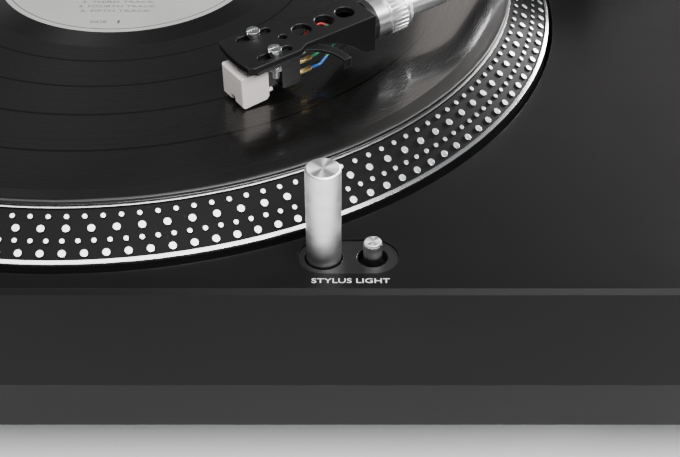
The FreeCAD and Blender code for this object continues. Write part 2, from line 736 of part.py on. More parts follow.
def make_pitch_slider():
    x, y = d.slider_x, d.slider_y
    body = plate("slider_plate", (x, y), 24, 2 * d.slider_travel + 30, d.deck_height, 0.8, 2)
    slit = new_sketch(body, "XY_Plane", d.deck_height + 0.8)
    rectangle(slit, (x, y), 3.6, 2 * d.slider_travel + 10)
    pocket(body, slit, 0.8)
    node("slider_plate", body)
    grip = plate("slider_knob", (x, y), 15, 9, d.deck_height + 1.3, 8, 1.5)
    fillet(grip, 0.8, level_at(d.deck_height + 9.3))
    groove = new_sketch(grip, "XY_Plane", d.deck_height + 9.3)
    rectangle(groove, (x, y), 15, 1)
    pocket(grip, groove, 0.7)
    stem = new_sketch(grip, "XY_Plane", d.deck_height - 8)
    rectangle(stem, (x, y), 2.4, 5)
    pad(grip, stem, 9.5)
    node("slider_knob", grip)
    case = cut(block(16, 2 * d.slider_travel + 24, 12, (x, y, d.deck_height - d.deck_thickness - 12)),
               block(4, 2 * d.slider_travel + 12, 8, (x, y, d.deck_height - d.deck_thickness - 8)))
    node("slider_pot", case)


# ---------------------------------------------------------------- inside and back


def make_electronics():
    low = d.underside_height + d.base_floor
    board = [block(130, 90, 1.6, (90, -60, low + 5))]
    for dx in (-58, 58):
        for dy in (-38, 38):
            board.append(cylinder(3, 5, (90 + dx, -60 + dy, low)))
    for dx, dy, w, h, t in ((-30, 10, 16, 16, 2.2), (0, 10, 14, 20, 2.2), (30, -15, 20, 12, 2.6), (-25, -25, 12, 8, 2)):
        board.append(block(w, h, t, (90 + dx, -60 + dy, low + 6.5)))
    for dx, dy in ((48, 25), (48, 8), (-50, -10), (10, -30)):
        board.append(cylinder(4.5, 12, (90 + dx, -60 + dy, low + 6.5)))
    node("main_board", fuse(*board))
    core = cut(block(44, 36, 24, (150, 90, low)), block(8, 36.2, 14, (139, 90, low + 5)),
               block(8, 36.2, 14, (161, 90, low + 5)))
    winding = cut(block(29.6, 50, 13.6, (150, 90, low + 5.2)), block(14.4, 37, 13.8, (150, 90, low + 5.1)))
    sides = [block(7.8, 36.4, 13.6, (139, 90, low + 5.2)), block(7.8, 36.4, 13.6, (161, 90, low + 5.2))]
    node("transformer", group(core, fuse(winding, *sides)))


def make_back_panel():
    inside = d.plinth_depth / 2 - d.wall_thickness
    middle = d.panel_low + d.panel_height / 2
    x = d.panel_x
    body = new_body("rear_panel")
    face = new_sketch(body, "XZ_Plane", -(inside - 2))
    rectangle(face, (x, middle), d.panel_width + 8, d.panel_height + 4.4)
    plate_feature = pad(body, face, 2)
    if plate_feature.Shape.BoundBox.YMax > inside.value + 0.001 or plate_feature.Shape.BoundBox.YMin < inside.value - 2.001:
        plate_feature.Reversed = True
        doc.recompute()
    cuts = new_sketch(body, "XZ_Plane", -(inside - 2))
    for dx in (-50, -34):
        circle(cuts, (x + dx, middle), 4.6)
    circle(cuts, (x - 18, middle), 2.1)
    rectangle(cuts, (x + 46, middle), 20.2, 10.2)
    feature = body.newObject("PartDesign::Pocket", "Openings")
    feature.Profile = cuts
    feature.Type = 1
    before = body.Shape.Volume
    doc.recompute()
    if feature.Shape.Volume >= before - 1:
        feature.Reversed = True
        doc.recompute()
    node("rear_panel", body)
    sockets = []
    for dx in (-50, -34):
        shell = tube(4.15, 3.2, 15, (x + dx, inside - 10.5, middle), ALONG_Y)
        barrel = tube(4.55, 1.6, 10.5, (x + dx, inside - 10.5, middle), ALONG_Y)
        sockets.append(fuse(shell, barrel))
    node("phono_sockets", group(*sockets))
    post = fuse(cylinder(2, 14, (x - 18, inside - 9.2, middle), ALONG_Y),
                cylinder(4, 3, (x - 18, inside - 5.1, middle), ALONG_Y))
    node("ground_post", post)
    nut = cut(cylinder(4.5, 3.6, (x - 18, inside + 0.2, middle), ALONG_Y),
              cylinder(2 + d.running_gap, 4, (x - 18, inside, middle), ALONG_Y),
              *[cylinder(0.5, 4, (x - 18 + 4.6 * math.cos(a), inside, middle + 4.6 * math.sin(a)), ALONG_Y)
                for a in around(18)])
    node("ground_nut", nut)
    case = cut(block(20, 16, 10, (x + 46, inside - 8, middle - 5)),
               block(16, 12.2, 7, (x + 46, inside - 6, middle - 3.5)))
    pins = [block(1.5, 9, 4, (x + 46 + dx, inside - 8, middle - 2)) for dx in (-5, 5)]
    node("power_socket", fuse(case, *pins))


# ---------------------------------------------------------------- tonearm stand


def arm_frame(heading=ARM_HEADING):
    """A frame on the tonearm's turning axis, with X along the heading."""
    return Placement(Vector(d.arm_x.value, d.arm_y.value, 0), Rotation(Vector(0, 0, 1), heading))


def place_on_arm(thing, heading=ARM_HEADING):
    thing.Placement = arm_frame(heading)
    thing.setExpression("Placement.Base.x", d.arm_x.text)
    thing.setExpression("Placement.Base.y", d.arm_y.text)


def make_arm_stand():
    centre = (d.arm_x, d.arm_y)
    slide_bore = d.column_radius + d.running_gap
    socket = turned("arm_socket", [
        (slide_bore, d.deck_height), (d.socket_radius, d.deck_height), (d.socket_radius, d.socket_top - 1.5),
        (d.socket_radius - 1.5, d.socket_top), (slide_bore, d.socket_top)], centre)
    node("arm_socket", socket)
    ring = tube(d.ring_radius, d.column_radius + 0.4, d.ring_top - d.socket_top - 0.1,
                (d.arm_x, d.arm_y, d.socket_top + 0.1))
    flutes = [cylinder(1.1, d.ring_top - d.socket_top, (d.arm_x + (d.ring_radius + 0.4) * math.cos(a),
                                                      d.arm_y + (d.ring_radius + 0.4) * math.sin(a), d.socket_top))
              for a in around(48)]
    node("height_ring", cut(ring, *flutes))
    low = d.ring_top + 0.3
    thick = d.plate_top - low
    disc = cylinder(d.flange_radius, thick, (0, 0, low))
    trunk = cylinder(d.column_radius, low - 76, (0, 0, 76))
    shoulder = cone(20, 14, 3.4, (0, 0, d.plate_top))
    turn = Rotation(Vector(0, 0, 1), REST_HEADING)
    corner = turn.multVec(Vector(25, -9, 0))
    ear = block(46, 18, thick, (corner.x, corner.y, low), turn)
    wing = block(34, 52, thick, (37, -8, low))
    yaw_bore = cylinder(d.yaw_radius + d.running_gap, 60, (0, 0, 70))
    dial_bore = cylinder(2.05, 20, (*DIAL, 100))
    pin = lift_pin_place()
    pin_bore = cylinder(3.05, 30, (pin.x, pin.y, 100))
    sleeve = cylinder(5, 4, (pin.x, pin.y, d.plate_top - 0.5))
    x, y = CUE
    lugs = cut(fuse(block(20, 14, 5, (x, y, d.plate_top)), cylinder(5, 20, (x - 10, y, CUE_HEIGHT), ALONG_X)),
               block(9, 16, 14, (x, y, d.plate_top + 0.01)), cylinder(1.55, 24, (x - 12, y, CUE_HEIGHT), ALONG_X))
    casting = cut(fuse(disc, trunk, shoulder, ear, wing, sleeve, lugs), yaw_bore, dial_bore, pin_bore)
    place_on_arm(casting, 0)
    node("arm_plate", casting)


def lift_pin_place():
    """Where the lift pin stands, from the tonearm's turning axis."""
    angle = math.radians(ARM_HEADING + 38)
    return Vector(d.lift_radius.value * math.cos(angle), d.lift_radius.value * math.sin(angle), 0)


def make_lift():
    pin = lift_pin_place()
    ring = tube(d.lift_radius + 2.5, d.lift_radius - 2.5, 2.6, (0, 0, 115))
    sector = doc.addObject("Part::Cylinder", "Sector")
    bind(sector, "Radius", d.lift_radius + 5)
    sector.Height = 4
    sector.Angle = 62
    sector.Placement = Placement(Vector(0, 0, 114.5), Rotation(Vector(0, 0, 1), ARM_HEADING - 20))
    lift = fuse(common(ring, sector), cylinder(3, 9.4, (pin.x, pin.y, 106)))
    place_on_arm(lift, 0)
    node("lift_bar", lift)
    x, y = CUE
    hub = cylinder(4, 8.2, (x - 4.1, y, CUE_HEIGHT), ALONG_X)
    axle = cylinder(1.5, 20, (x - 10, y, CUE_HEIGHT), ALONG_X)
    handle = swept([Vector(x, y, CUE_HEIGHT), Vector(x, y - 20, 119.5), Vector(x, y - 46, 119.5)], [14], 1.7)
    paddle = cylinder(3.4, 11, (x, y - 50, 119.5), ALONG_Y)
    lever = fuse(hub, axle, handle, paddle)
    place_on_arm(lever, 0)
    node("cue_lever", lever)
    x, y = DIAL
    wheel = fuse(cylinder(9, 3, (x, y, d.plate_top + 0.3)), cylinder(2, 7, (x, y, d.plate_top - 3.8)))
    flutes = [cylinder(0.6, 4, (x + 9.2 * math.cos(a), y + 9.2 * math.sin(a), d.plate_top)) for a in around(24)]
    dial = cut(wheel, *flutes)
    place_on_arm(dial, 0)
    node("anti_skate_dial", dial)


def make_rest():
    reach = d.rest_reach
    post = cylinder(4, 3, (reach, 0, d.plate_top))
    saddle = cut(fuse(block(8, 19, 3.7, (reach, 0, d.plate_top + 2.7)), block(8, 4, 18, (reach, 7.5, d.plate_top + 2.7))),
                 cylinder(5, 12, (reach - 6, 0, 120.3), ALONG_X),
                 block(4.4, 6, 8, (reach, 7.5, 124)),
                 cylinder(1.05, 12, (reach - 6, 7.5, 128), ALONG_X))
    rest = fuse(post, saddle)
    place_on_arm(rest, REST_HEADING)
    node("arm_rest", rest)
    hub = cylinder(1.9, 4, (reach - 2, 7.5, 128), ALONG_X)
    pin = cylinder(1, 8, (reach - 4, 7.5, 128), ALONG_X)
    blade = block(4, 1.6, 15, (reach, 7.5, 129))
    hook = block(4, 3.2, 1.6, (reach, 6.7, 143))
    clip = fuse(hub, pin, blade, hook)
    place_on_arm(clip, REST_HEADING)
    node("arm_clip", clip)


def make_gimbal():
    pivot = d.pivot_height
    frame = cut(block(13, 40, 24.5, (0, 0, 113)), block(14, 30, 18.5, (0, 0, 116)))
    rounded = common(frame, cylinder(20.5, 14, (-7, 0, pivot), ALONG_X))
    foot = cylinder(11, 3, (0, 0, 113))
    shaft = cylinder(d.yaw_radius, 38, (0, 0, 78))
    bores = cylinder(1.9, 44, (0, -22, pivot), ALONG_Y)
    yoke = cut(fuse(rounded, foot, shaft), bores)
    place_on_arm(yoke)
    node("gimbal_yoke", yoke)
    screws = []
    for side, turn in ((-1, ALONG_Y), (1, Rotation(Vector(1, 0, 0), 90))):
        thread = cylinder(1.9, 9, (0, side * 19.5, pivot), turn)
        tip = cylinder(1.2, 14.5, (0, side * 19.5, pivot), turn)
        head = cylinder(3, 1.8, (0, side * 21.9, pivot), turn)
        neck = cylinder(1.9, 4, (0, side * 21.9, pivot), turn)
        screws.append(cut(fuse(thread, tip, head, neck), block(5, 2, 0.8, (0, side * 21.9, pivot - 0.4))))
    pins = group(*screws)
    place_on_arm(pins)
    node("pivot_screws", pins)


# ---------------------------------------------------------------- tonearm


def head_frame():
    """The headshell's frame: origin at the stylus tip, X to its back, Z out of its top."""
    turn = Rotation(Vector(0, 0, 1), HEAD_HEADING) * Rotation(Vector(0, 1, 0), -HEAD_RISE)
    return Placement(STYLUS, turn * Rotation(Vector(1, 0, 0), HEAD_ROLL))


def arm_points():
    """The tube's corners, from the pivot to where the headshell plugs in."""
    head = head_frame()
    pivot = Vector(d.arm_x.value, d.arm_y.value, d.pivot_height.value)
    bend = head.multVec(Vector(94, 0, d.shank_height.value))
    front = head.multVec(Vector(68, 0, d.shank_height.value))
    fall = math.tan(math.radians(3.4))
    heading = Vector(math.cos(math.radians(ARM_HEADING)), math.sin(math.radians(ARM_HEADING)), -fall)
    return [pivot + heading * 10, pivot + heading * 70, bend, front]


def make_arm():
    points = arm_points()
    node("arm_tube", cut(swept(points, [60, 50], d.tube_radius), swept(points, [60, 50], d.tube_radius - 0.8)))
    fall = Rotation(Vector(0, 1, 0), 3.4)
    block_turn = fall * ALONG_X
    body = cylinder(7.8, 18, (-8, 0, 0), ALONG_X)
    socket = cylinder(d.tube_radius - 0.85, 7, (9.5, 0, 0), ALONG_X)
    stub = cylinder(d.stub_radius, 84, (-90, 0, 0), ALONG_X)
    cups = cylinder(1.25, 20, (0, -10, 0), ALONG_Y)
    stem = cut(fuse(body, socket, stub), cups)
    tilt = Placement(Vector(d.arm_x.value, d.arm_y.value, d.pivot_height.value),
                     Rotation(Vector(0, 0, 1), ARM_HEADING) * fall)
    put(stem, tilt, (d.arm_x, d.arm_y, d.pivot_height))
    node("arm_stub", stem)
    start = d.weight_start
    weight = cut(fuse(cylinder(d.weight_radius, 22, (-start - 28, 0, 0), ALONG_X),
                      cone(d.weight_radius - 2, d.weight_radius, 2, (-start - 30, 0, 0), ALONG_X)),
                 cylinder(d.stub_radius + d.running_gap, 40, (-start - 34, 0, 0), ALONG_X),
                 *[cut(cylinder(d.weight_radius + 2, 0.8, (-start - 26 + 5 * k, 0, 0), ALONG_X),
                       cylinder(d.weight_radius - 0.6, 0.8, (-start - 26 + 5 * k, 0, 0), ALONG_X)) for k in range(3)])
    put(weight, tilt, (d.arm_x, d.arm_y, d.pivot_height))
    node("counterweight", weight)
    ring = cut(cylinder(d.weight_radius - 2, 5, (-start - 5.7, 0, 0), ALONG_X),
               cylinder(d.stub_radius + d.running_gap, 8, (-start - 7, 0, 0), ALONG_X))
    put(ring, tilt, (d.arm_x, d.arm_y, d.pivot_height))
    node("force_ring", ring)


def put(thing, place, at):
    """Gives a finished piece its place, with the base bound to the spreadsheet."""
    thing.Placement = place
    for axis, value in zip("xyz", at):
        thing.setExpression(f"Placement.Base.{axis}", value.text)


def make_headshell():
    head = head_frame()
    front, back = -d.shell_front, d.shell_back
    half, neck = d.shell_half, d.shell_half - 1.9
    body = new_body("headshell")
    top = new_sketch(body, "XY_Plane", d.shell_under)
    outline(top, [(front, -half + 1), (front - 0.8, -3), (front - 0.8, 3), (front, half - 1), (front + 2, half),
                  (d.shell_step - 1, half), (d.shell_step + 2.5, neck), (back, neck), (back, -neck),
                  (d.shell_step + 2.5, -neck), (d.shell_step - 1, -half), (front + 2, -half)])
    pad(body, top, d.shell_top - d.shell_under)
    side = new_sketch(body, "XZ_Plane", -neck)
    outline(side, [(26.5, d.shell_top - 1), (26.5, d.shell_under - 0.6), (30, d.shell_under - 1.7),
                   (33, d.shell_under - 2.9), (36, d.shell_under - 4.4), (39, d.shell_under - 6.4),
                   (42, d.shell_under - 8.9), (44.2, d.shell_under - 10.8), (46, d.shell_under - 11.6),
                   (back, d.shell_under - 11.8), (back, d.shell_top - 1)])
    walls = pad(body, side, neck * 2)
    channel = new_sketch(body, "XY_Plane", d.shell_under)
    outline(channel, [(20, -neck + 1.6), (back - 3.5, -neck + 1.6), (back - 3.5, neck - 1.6), (20, neck - 1.6)])
    pocket(body, channel, 14)
    slots = new_sketch(body, "XY_Plane", d.shell_top)
    slot_ends = new_sketch(body, "XY_Plane", d.shell_top)
    for y in (-d.screw_spread, d.screw_spread):
        rectangle(slots, (9.6, y), 9.6, 3)
        circle(slot_ends, (4.8, y), 1.5)
        circle(slot_ends, (14.4, y), 1.5)
    circle(slots, (16.9, 0), 1.3)
    for x in (24.3, 33.4, 41.8):
        circle(slots, (x, 0), 3.2)
    pocket(body, slots, d.shell_top - d.shell_under)
    pocket(body, slot_ends, d.shell_top - d.shell_under)
    bore = new_sketch(body, "YZ_Plane", back)
    circle(bore, (0, d.shank_height), 4)
    feature = body.newObject("PartDesign::Pocket", "ShankBore")
    feature.Profile = bore
    feature.Length = 6
    before = body.Shape.Volume
    doc.recompute()
    if feature.Shape.Volume >= before - 1:
        feature.Reversed = True
        doc.recompute()
    fillet(body, 0.45, lambda e: level_at(d.shell_top)(e) and e.Length > 3)
    node("headshell", body, head)
    axis = d.shank_height
    plug = fuse(cylinder(3.95, 16, (back - 5, 0, axis), ALONG_X), tube(7.2, 3.9, 2.4, (back + 0.2, 0, axis), ALONG_X))
    pins = [cylinder(0.6, 4, (back - 9, dy, axis + dz), ALONG_X) for dy in (-1.5, 1.5) for dz in (-1.5, 1.5)]
    node("headshell_plug", fuse(plug, *pins), head)
    bore_radius = 4.05
    collar = cut(fuse(cylinder(6.6, 5, (back + 3, 0, axis), ALONG_X), cylinder(7.4, 8, (back + 8, 0, axis), ALONG_X),
                      cone(7.4, 5.6, 2.5, (back + 16, 0, axis), ALONG_X)),
                 cylinder(bore_radius, 9, (back + 2, 0, axis), ALONG_X),
                 cylinder(4.65, 12, (back + 11, 0, axis), ALONG_X),
                 *[cylinder(0.55, 6, (back + 9, 7.55 * math.cos(a), axis + 7.55 * math.sin(a)), ALONG_X)
                   for a in around(30)])
    node("lock_collar", collar, head)
    outer = [Vector(25.6, -8.4, 0), Vector(27.2, -10.2, 0), Vector(28.6, -13, 0), Vector(29.2, -17, 0),
             Vector(29.3, -21, 0)]
    inner = [Vector(26.7, -21, 0), Vector(26.5, -17.4, 0), Vector(25.4, -13.6, 0), Vector(23.2, -10.4, 0),
             Vector(20.4, -8.4, 0)]
    tongue = ribbon(outer, inner, [Vector(20.4, -4.8, 0), Vector(25.6, -4.8, 0)], 1)
    slope = Placement(Vector(0, 0, 14.6), Rotation(Vector(1, 0, 0), -2.5))
    tab = block(2.6, 0.9, 3.3, (28, -20.5, 13.2))
    sloped = doc.addObject("Part::Feature", "Tongue")
    sloped.Shape = tongue.transformGeometry(slope.toMatrix())
    node("finger_lift", fuse(sloped, tab), head)


def ribbon(outer, inner, root, thickness):
    """A flat tongue between two smooth edges, closed by the straight edge at its root."""
    edges = []
    for points in (outer, inner):
        curve = Part.BSplineCurve()
        curve.interpolate(points)
        edges.append(curve.toShape())
    edges.append(Part.makeLine(outer[-1], inner[0]))
    edges.append(Part.makeLine(inner[-1], root[0]))
    edges.append(Part.makeLine(root[0], root[1]))
    edges.append(Part.makeLine(root[1], outer[0]))
    face = Part.Face(Part.Wire(Part.__sortEdges__(edges)))
    return face.extrude(Vector(0, 0, thickness))


def make_cartridge():
    head = head_frame()
    top = d.shell_under
    body = new_body("cartridge_body")
    deck = new_sketch(body, "XY_Plane", top - 2.4)
    outline(deck, [(-1, -6), (1.5, -8.4), (17, -8.4), (19, -6), (19, 6), (17, 8.4), (1.5, 8.4), (-1, 6)])
    pad(body, deck, 2.4)
    wedge = new_sketch(body, "XZ_Plane", -5.9)
    outline(wedge, [(-0.6, top - 1), (-0.6, 12.7), (6.9, 12.7), (6.9, top - 1)])
    pad(body, wedge, 11.8)
    trunk = new_sketch(body, "XZ_Plane", -3.9)
    outline(trunk, [(6.9, top - 1), (6.9, 2.4), (16.6, 5.6), (17.6, 7), (17.6, top - 1)])
    pad(body, trunk, 7.8)
    tail = new_sketch(body, "XZ_Plane", -6)
    outline(tail, [(12.2, top - 1), (12.2, 3), (13, 2.4), (18.8, 2.4), (19.4, 3), (19.4, top - 1)])
    pad(body, tail, 12)
    holes = new_sketch(body, "XY_Plane", top)
    for y in (-d.screw_spread, d.screw_spread):
        circle(holes, (d.screw_back, y), 1.3)
    pocket(body, holes, 6)
    node("cartridge_body", body, head)
    tip = new_body("stylus_block")
    shape = new_sketch(tip, "XZ_Plane", -6.1)
    outline(shape, [(-3.4, 12.1), (-3.4, 1.6), (-2.6, 0.8), (5.8, 1.1), (6.8, 2.1), (6.8, 12.6), (-2.9, 12.6)])
    pad(tip, shape, 12.2)
    fillet(tip, 0.5, lambda e: e.BoundBox.XMax < -3.3 and e.BoundBox.ZLength > 8)
    slit = new_sketch(tip, "XZ_Plane", -1.3)
    outline(slit, [(-4, 0), (-4, 3.4), (3, 3.4), (4.4, 2.4), (4.4, 0)])
    slot = tip.newObject("PartDesign::Pocket", "Slit")
    slot.Profile = slit
    slot.Length = 2.6
    slot.Reversed = True
    doc.recompute()
    peg = new_sketch(tip, "YZ_Plane", 6.8)
    circle(peg, (-4.6, 3.4), 0.7)
    pad(tip, peg, 2)
    node("stylus_block", tip, head)
    arm = cylinder(0.25, 3.6, (3.6, 0, 2.4), Rotation(Vector(0, 1, 0), -122))
    tip_cone = cone(0.04, 0.22, 1.0, (0, 0, 0))
    node("cantilever", fuse(arm, tip_cone), head)
    screws = []
    nuts = []
    for y in (-d.screw_spread, d.screw_spread):
        head_part = cut(cylinder(2.25, 2, (d.screw_back, y, d.shell_top)),
                        block(5, 0.7, 0.8, (d.screw_back, y, d.shell_top + 1.2)))
        screws.append(fuse(head_part, cylinder(1.25, 9.4, (d.screw_back, y, d.shell_top - 9.3))))
        nut = doc.addObject("Part::Prism", "Nut")
        nut.Polygon = 6
        nut.Circumradius = 2.3
        nut.Height = 1.8
        locate(nut, (d.screw_back, y, top - 4.4))
        nuts.append(cut(nut, cylinder(1.25, 1.8, (d.screw_back, y, top - 4.4))))
    node("cartridge_screws", group(*screws), head)
    node("cartridge_nuts", group(*nuts), head)
    routes = [
        [(24, 4.2, 9), (27, 4.2, 9.2), (29.5, 4.4, 13.4), (35, 4.3, 14.1), (38, 1.9, 12.5), (40.1, 1.5, 12.5)],
        [(24, 4.2, 4.8), (28, 4.2, 5), (33, 3.2, 7.8), (37.5, 1.5, 9.5), (40.1, 1.5, 9.5)],
        [(24, -4.2, 9), (28, -4.2, 9.6), (31.5, -1.6, 13.4), (35.5, 0.8, 14.2), (38, -1.3, 12.5), (40.1, -1.5, 12.5)],
        [(24, -4.2, 4.8), (28.5, -4.4, 4.9), (33.5, -3.6, 7.8), (37.5, -1.5, 9.5), (40.1, -1.5, 9.5)]]
    leads = []
    for route in routes:
        points = [Vector(*place) for place in route]
        bends = [1.8] * (len(points) - 2)
        clip = cylinder(0.85, 5.2, (19.5, points[0].y, points[0].z), ALONG_X)
        leads.append(fuse(swept(points, bends, 0.5), clip))
    node("cartridge_leads", group(*leads), head)


def main():
    make_top_cover()
    make_base_cabinet()
    make_case_screws()
    make_feet()
    make_platter()
    make_motor()
    make_lamp()
    make_buttons()
    make_power_knob()
    make_pitch_slider()
    make_electronics()
    make_back_panel()
    make_arm_stand()
    make_lift()
    make_rest()
    make_gimbal()
    make_arm()
    make_headshell()
    make_cartridge()
    finish()


main()
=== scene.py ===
"""A direct-drive record player on a pale table, under soft studio light.

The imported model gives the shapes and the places. Each class below dresses one sub-assembly of the
player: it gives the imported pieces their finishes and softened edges, and adds the print and the small
pieces that ride with them. Lengths are in metres unless a name says millimetres.
"""

import logging
import math
from dataclasses import dataclass
from enum import Enum
from typing import Protocol

import bpy
from mathutils import Matrix, Vector


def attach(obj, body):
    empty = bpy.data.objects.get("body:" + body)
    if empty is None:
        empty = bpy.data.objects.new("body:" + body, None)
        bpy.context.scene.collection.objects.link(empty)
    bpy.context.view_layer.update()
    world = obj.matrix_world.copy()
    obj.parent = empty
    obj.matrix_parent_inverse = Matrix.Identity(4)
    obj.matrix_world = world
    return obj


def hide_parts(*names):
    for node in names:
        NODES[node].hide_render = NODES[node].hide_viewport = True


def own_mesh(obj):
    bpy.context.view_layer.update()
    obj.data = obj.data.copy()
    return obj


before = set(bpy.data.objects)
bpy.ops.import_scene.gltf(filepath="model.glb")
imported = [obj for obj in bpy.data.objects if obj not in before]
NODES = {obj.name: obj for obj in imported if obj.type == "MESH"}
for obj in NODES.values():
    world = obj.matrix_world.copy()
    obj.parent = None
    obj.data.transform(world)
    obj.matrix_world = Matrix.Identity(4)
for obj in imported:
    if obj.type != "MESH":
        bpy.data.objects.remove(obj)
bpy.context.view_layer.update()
LOG = logging.getLogger("record_player")

MM = 0.001
PLATTER_CENTRE = (-0.044, -0.0015, 0.0)
ARM_CENTRE = (0.1546, 0.0795, 0.0)
STYLUS_TIP = (0.0075, -0.0966, 0.10293)
DECK_TOP = 0.090
PRINT_HEIGHT = 0.03 * MM
WELD_WITHIN = 0.0005 * MM
FLAT_WITHIN = math.radians(0.6)
SHARP_FROM = math.radians(32.0)

Socket = bpy.types.NodeSocket
Colour = tuple[float, float, float]
Value = Socket | float | tuple


# ---------------------------------------------------------------- shader graphs


class Graph:
    """A shader node tree, with short ways to add and join its nodes."""

    def __init__(self, tree: bpy.types.NodeTree) -> None:
        """Keeps the tree that the nodes go in."""
        self.tree = tree

    def feed(self, socket: Socket, value: Value) -> None:
        """Sets a socket, or joins it to another one.

        Args:
            socket: the input socket.
            value: an output socket, a number, a vector or a colour.
        """
        if isinstance(value, Socket):
            self.tree.links.new(value, socket)
        elif socket.type == "RGBA" and len(value) == 3:
            socket.default_value = (*value, 1.0)
        else:
            socket.default_value = value

    def add(self, kind: str, settings: dict | None = None, **inputs: Value) -> bpy.types.Node:
        """Adds a node.

        Args:
            kind: the node's type, without ShaderNode.
            settings: the node's own properties.
            inputs: values or sockets for its inputs, with _ for a space in a name.

        Returns:
            The node.
        """
        node = self.tree.nodes.new("ShaderNode" + kind)
        for key, value in (settings or {}).items():
            setattr(node, key, value)
        for key, value in inputs.items():
            self.feed(node.inputs[key.replace("_", " ")], value)
        return node

    def math(self, operation: str, *values: Value) -> Socket:
        """Adds a Math node.

        Args:
            operation: the node's operation.
            values: its inputs in order.

        Returns:
            Its output.
        """
        node = self.add("Math", {"operation": operation})
        for socket, value in zip(node.inputs, values):
            self.feed(socket, value)
        return node.outputs[0]

    def vector(self, operation: str, *values: Value) -> bpy.types.Node:
        """Adds a Vector Math node and returns it."""
        node = self.add("VectorMath", {"operation": operation})
        for socket, value in zip(node.inputs, values):
            self.feed(socket, value)
        return node

    def mix(self, amount: Value, first: Value, second: Value) -> Socket:
        """Mixes two colours.

        Args:
            amount: how much of the second one, from 0 to 1.
            first: a colour or a socket.
            second: a colour or a socket.

        Returns:
            The mixed colour.
        """
        node = self.add("Mix", {"data_type": "RGBA"})
        self.feed(node.inputs[0], amount)
        self.feed(node.inputs[6], first)
        self.feed(node.inputs[7], second)
        return node.outputs[2]

    def between(self, value: Value, low: float, high: float, to_low: float = 0.0, to_high: float = 1.0) -> Socket:
        """Maps a range of values to another one, and clamps the result."""
        ends = {"From_Min": low, "From_Max": high, "To_Min": to_low, "To_Max": to_high}
        return self.add("MapRange", None, Value=value, **ends).outputs[0]

    def band(self, value: Value, low: float, high: float, soft: float) -> Socket:
        """A mask that is 1 between two values and fades out over soft on each side."""
        rise = self.between(value, low - soft, low + soft)
        fall = self.between(value, high - soft, high + soft, 1.0, 0.0)
        return self.math("MULTIPLY", rise, fall)

    def noise(self, vector: Socket, scale: float | Socket, detail: float = 3.0, rough: float = 0.55) -> Socket:
        """Noise from 0 to 1 at a place."""
        node = self.add("TexNoise", None, Vector=vector, Scale=scale, Detail=detail, Roughness=rough)
        return node.outputs[0]

    def place(self) -> Socket:
        """The place on the piece, in its own frame, which moves with it."""
        return self.add("TexCoord").outputs["Object"]

    def relief(self, surface: bpy.types.Node, height: Socket, strength: float, depth: float) -> None:
        """Gives a surface fine relief.

        Args:
            surface: the surface node.
            height: the relief's shape.
            strength: how strongly it shows.
            depth: how deep it is, in millimetres.
        """
        bump = self.add("Bump", None, Strength=strength, Distance=depth * MM, Height=height)
        self.feed(surface.inputs["Normal"], bump.outputs[0])

    def stretch(self, surface: bpy.types.Node, amount: float) -> None:
        """Stretches a surface's reflections across lines that run round an upright axis."""
        surface.inputs["Anisotropic"].default_value = amount
        around = self.add("Tangent", {"direction_type": "RADIAL", "axis": "Z"})
        self.feed(surface.inputs["Tangent"], around.outputs[0])

    def group(self, tree: bpy.types.NodeTree, **inputs: Value) -> bpy.types.Node:
        """Places a node group and sets its inputs."""
        node = self.add("Group", {"node_tree": tree})
        for key, value in inputs.items():
            self.feed(node.inputs[key.replace("_", " ")], value)
        return node


class Effect:
    """A node group that several finishes share."""

    def __init__(self, name: str, inputs: list[tuple], outputs: list[str]) -> None:
        """Makes the group and its sockets.

        Args:
            name: the group's name.
            inputs: the name, kind and default of each input.
            outputs: the names of its values.
        """
        self.tree = bpy.data.node_groups.new(name, "ShaderNodeTree")
        for label, kind, default in inputs:
            socket = self.tree.interface.new_socket(label, in_out="INPUT", socket_type="NodeSocket" + kind)
            socket.default_value = default
        for label in outputs:
            self.tree.interface.new_socket(label, in_out="OUTPUT", socket_type="NodeSocketFloat")
        self.graph = Graph(self.tree)
        self.given = self.tree.nodes.new("NodeGroupInput").outputs
        self.result = self.tree.nodes.new("NodeGroupOutput").inputs

    def put_out(self, **values: Socket) -> None:
        """Joins values to the group's outputs."""
        for label, value in values.items():
            self.graph.feed(self.result[label], value)


def worn_edges() -> bpy.types.NodeTree:
    """Builds the mask of lighter edges: partly edges that hands and cloths have rubbed, partly a painted
    highlight along the edges.
    """
    effect = Effect("worn_edges", [("Width", "Float", 0.4 * MM), ("Patch", "Float", 90.0)], ["Mask"])
    graph = effect.graph
    rounded = graph.add("Bevel", {"samples": 4}, Radius=effect.given["Width"]).outputs[0]
    flat = graph.add("NewGeometry").outputs["Normal"]
    turn = graph.vector("DOT_PRODUCT", rounded, flat).outputs["Value"]
    edge = graph.between(turn, 0.995, 0.86)
    patches = graph.noise(graph.place(), effect.given["Patch"], 4.0, 0.5)
    effect.put_out(Mask=graph.math("MULTIPLY", edge, graph.between(patches, 0.36, 0.62)))
    return effect.tree


def polar_place() -> bpy.types.NodeTree:
    """Builds the radius in millimetres, and the angle from 0 to 1, about an upright axis."""
    effect = Effect("polar_place", [("Centre", "Vector", (0.0, 0.0, 0.0))], ["Radius", "Angle", "Height"])
    graph = effect.graph
    away = graph.vector("SUBTRACT", graph.place(), effect.given["Centre"]).outputs[0]
    x, y, z = graph.add("SeparateXYZ", None, Vector=away).outputs
    squares = graph.math("ADD", graph.math("MULTIPLY", x, x), graph.math("MULTIPLY", y, y))
    radius = graph.math("MULTIPLY", graph.math("SQRT", squares), 1000.0)
    turn = graph.math("ADD", graph.math("DIVIDE", graph.math("ARCTAN2", y, x), 2 * math.pi), 0.5)
    effect.put_out(Radius=radius, Angle=turn, Height=graph.math("MULTIPLY", z, 1000.0))
    return effect.tree


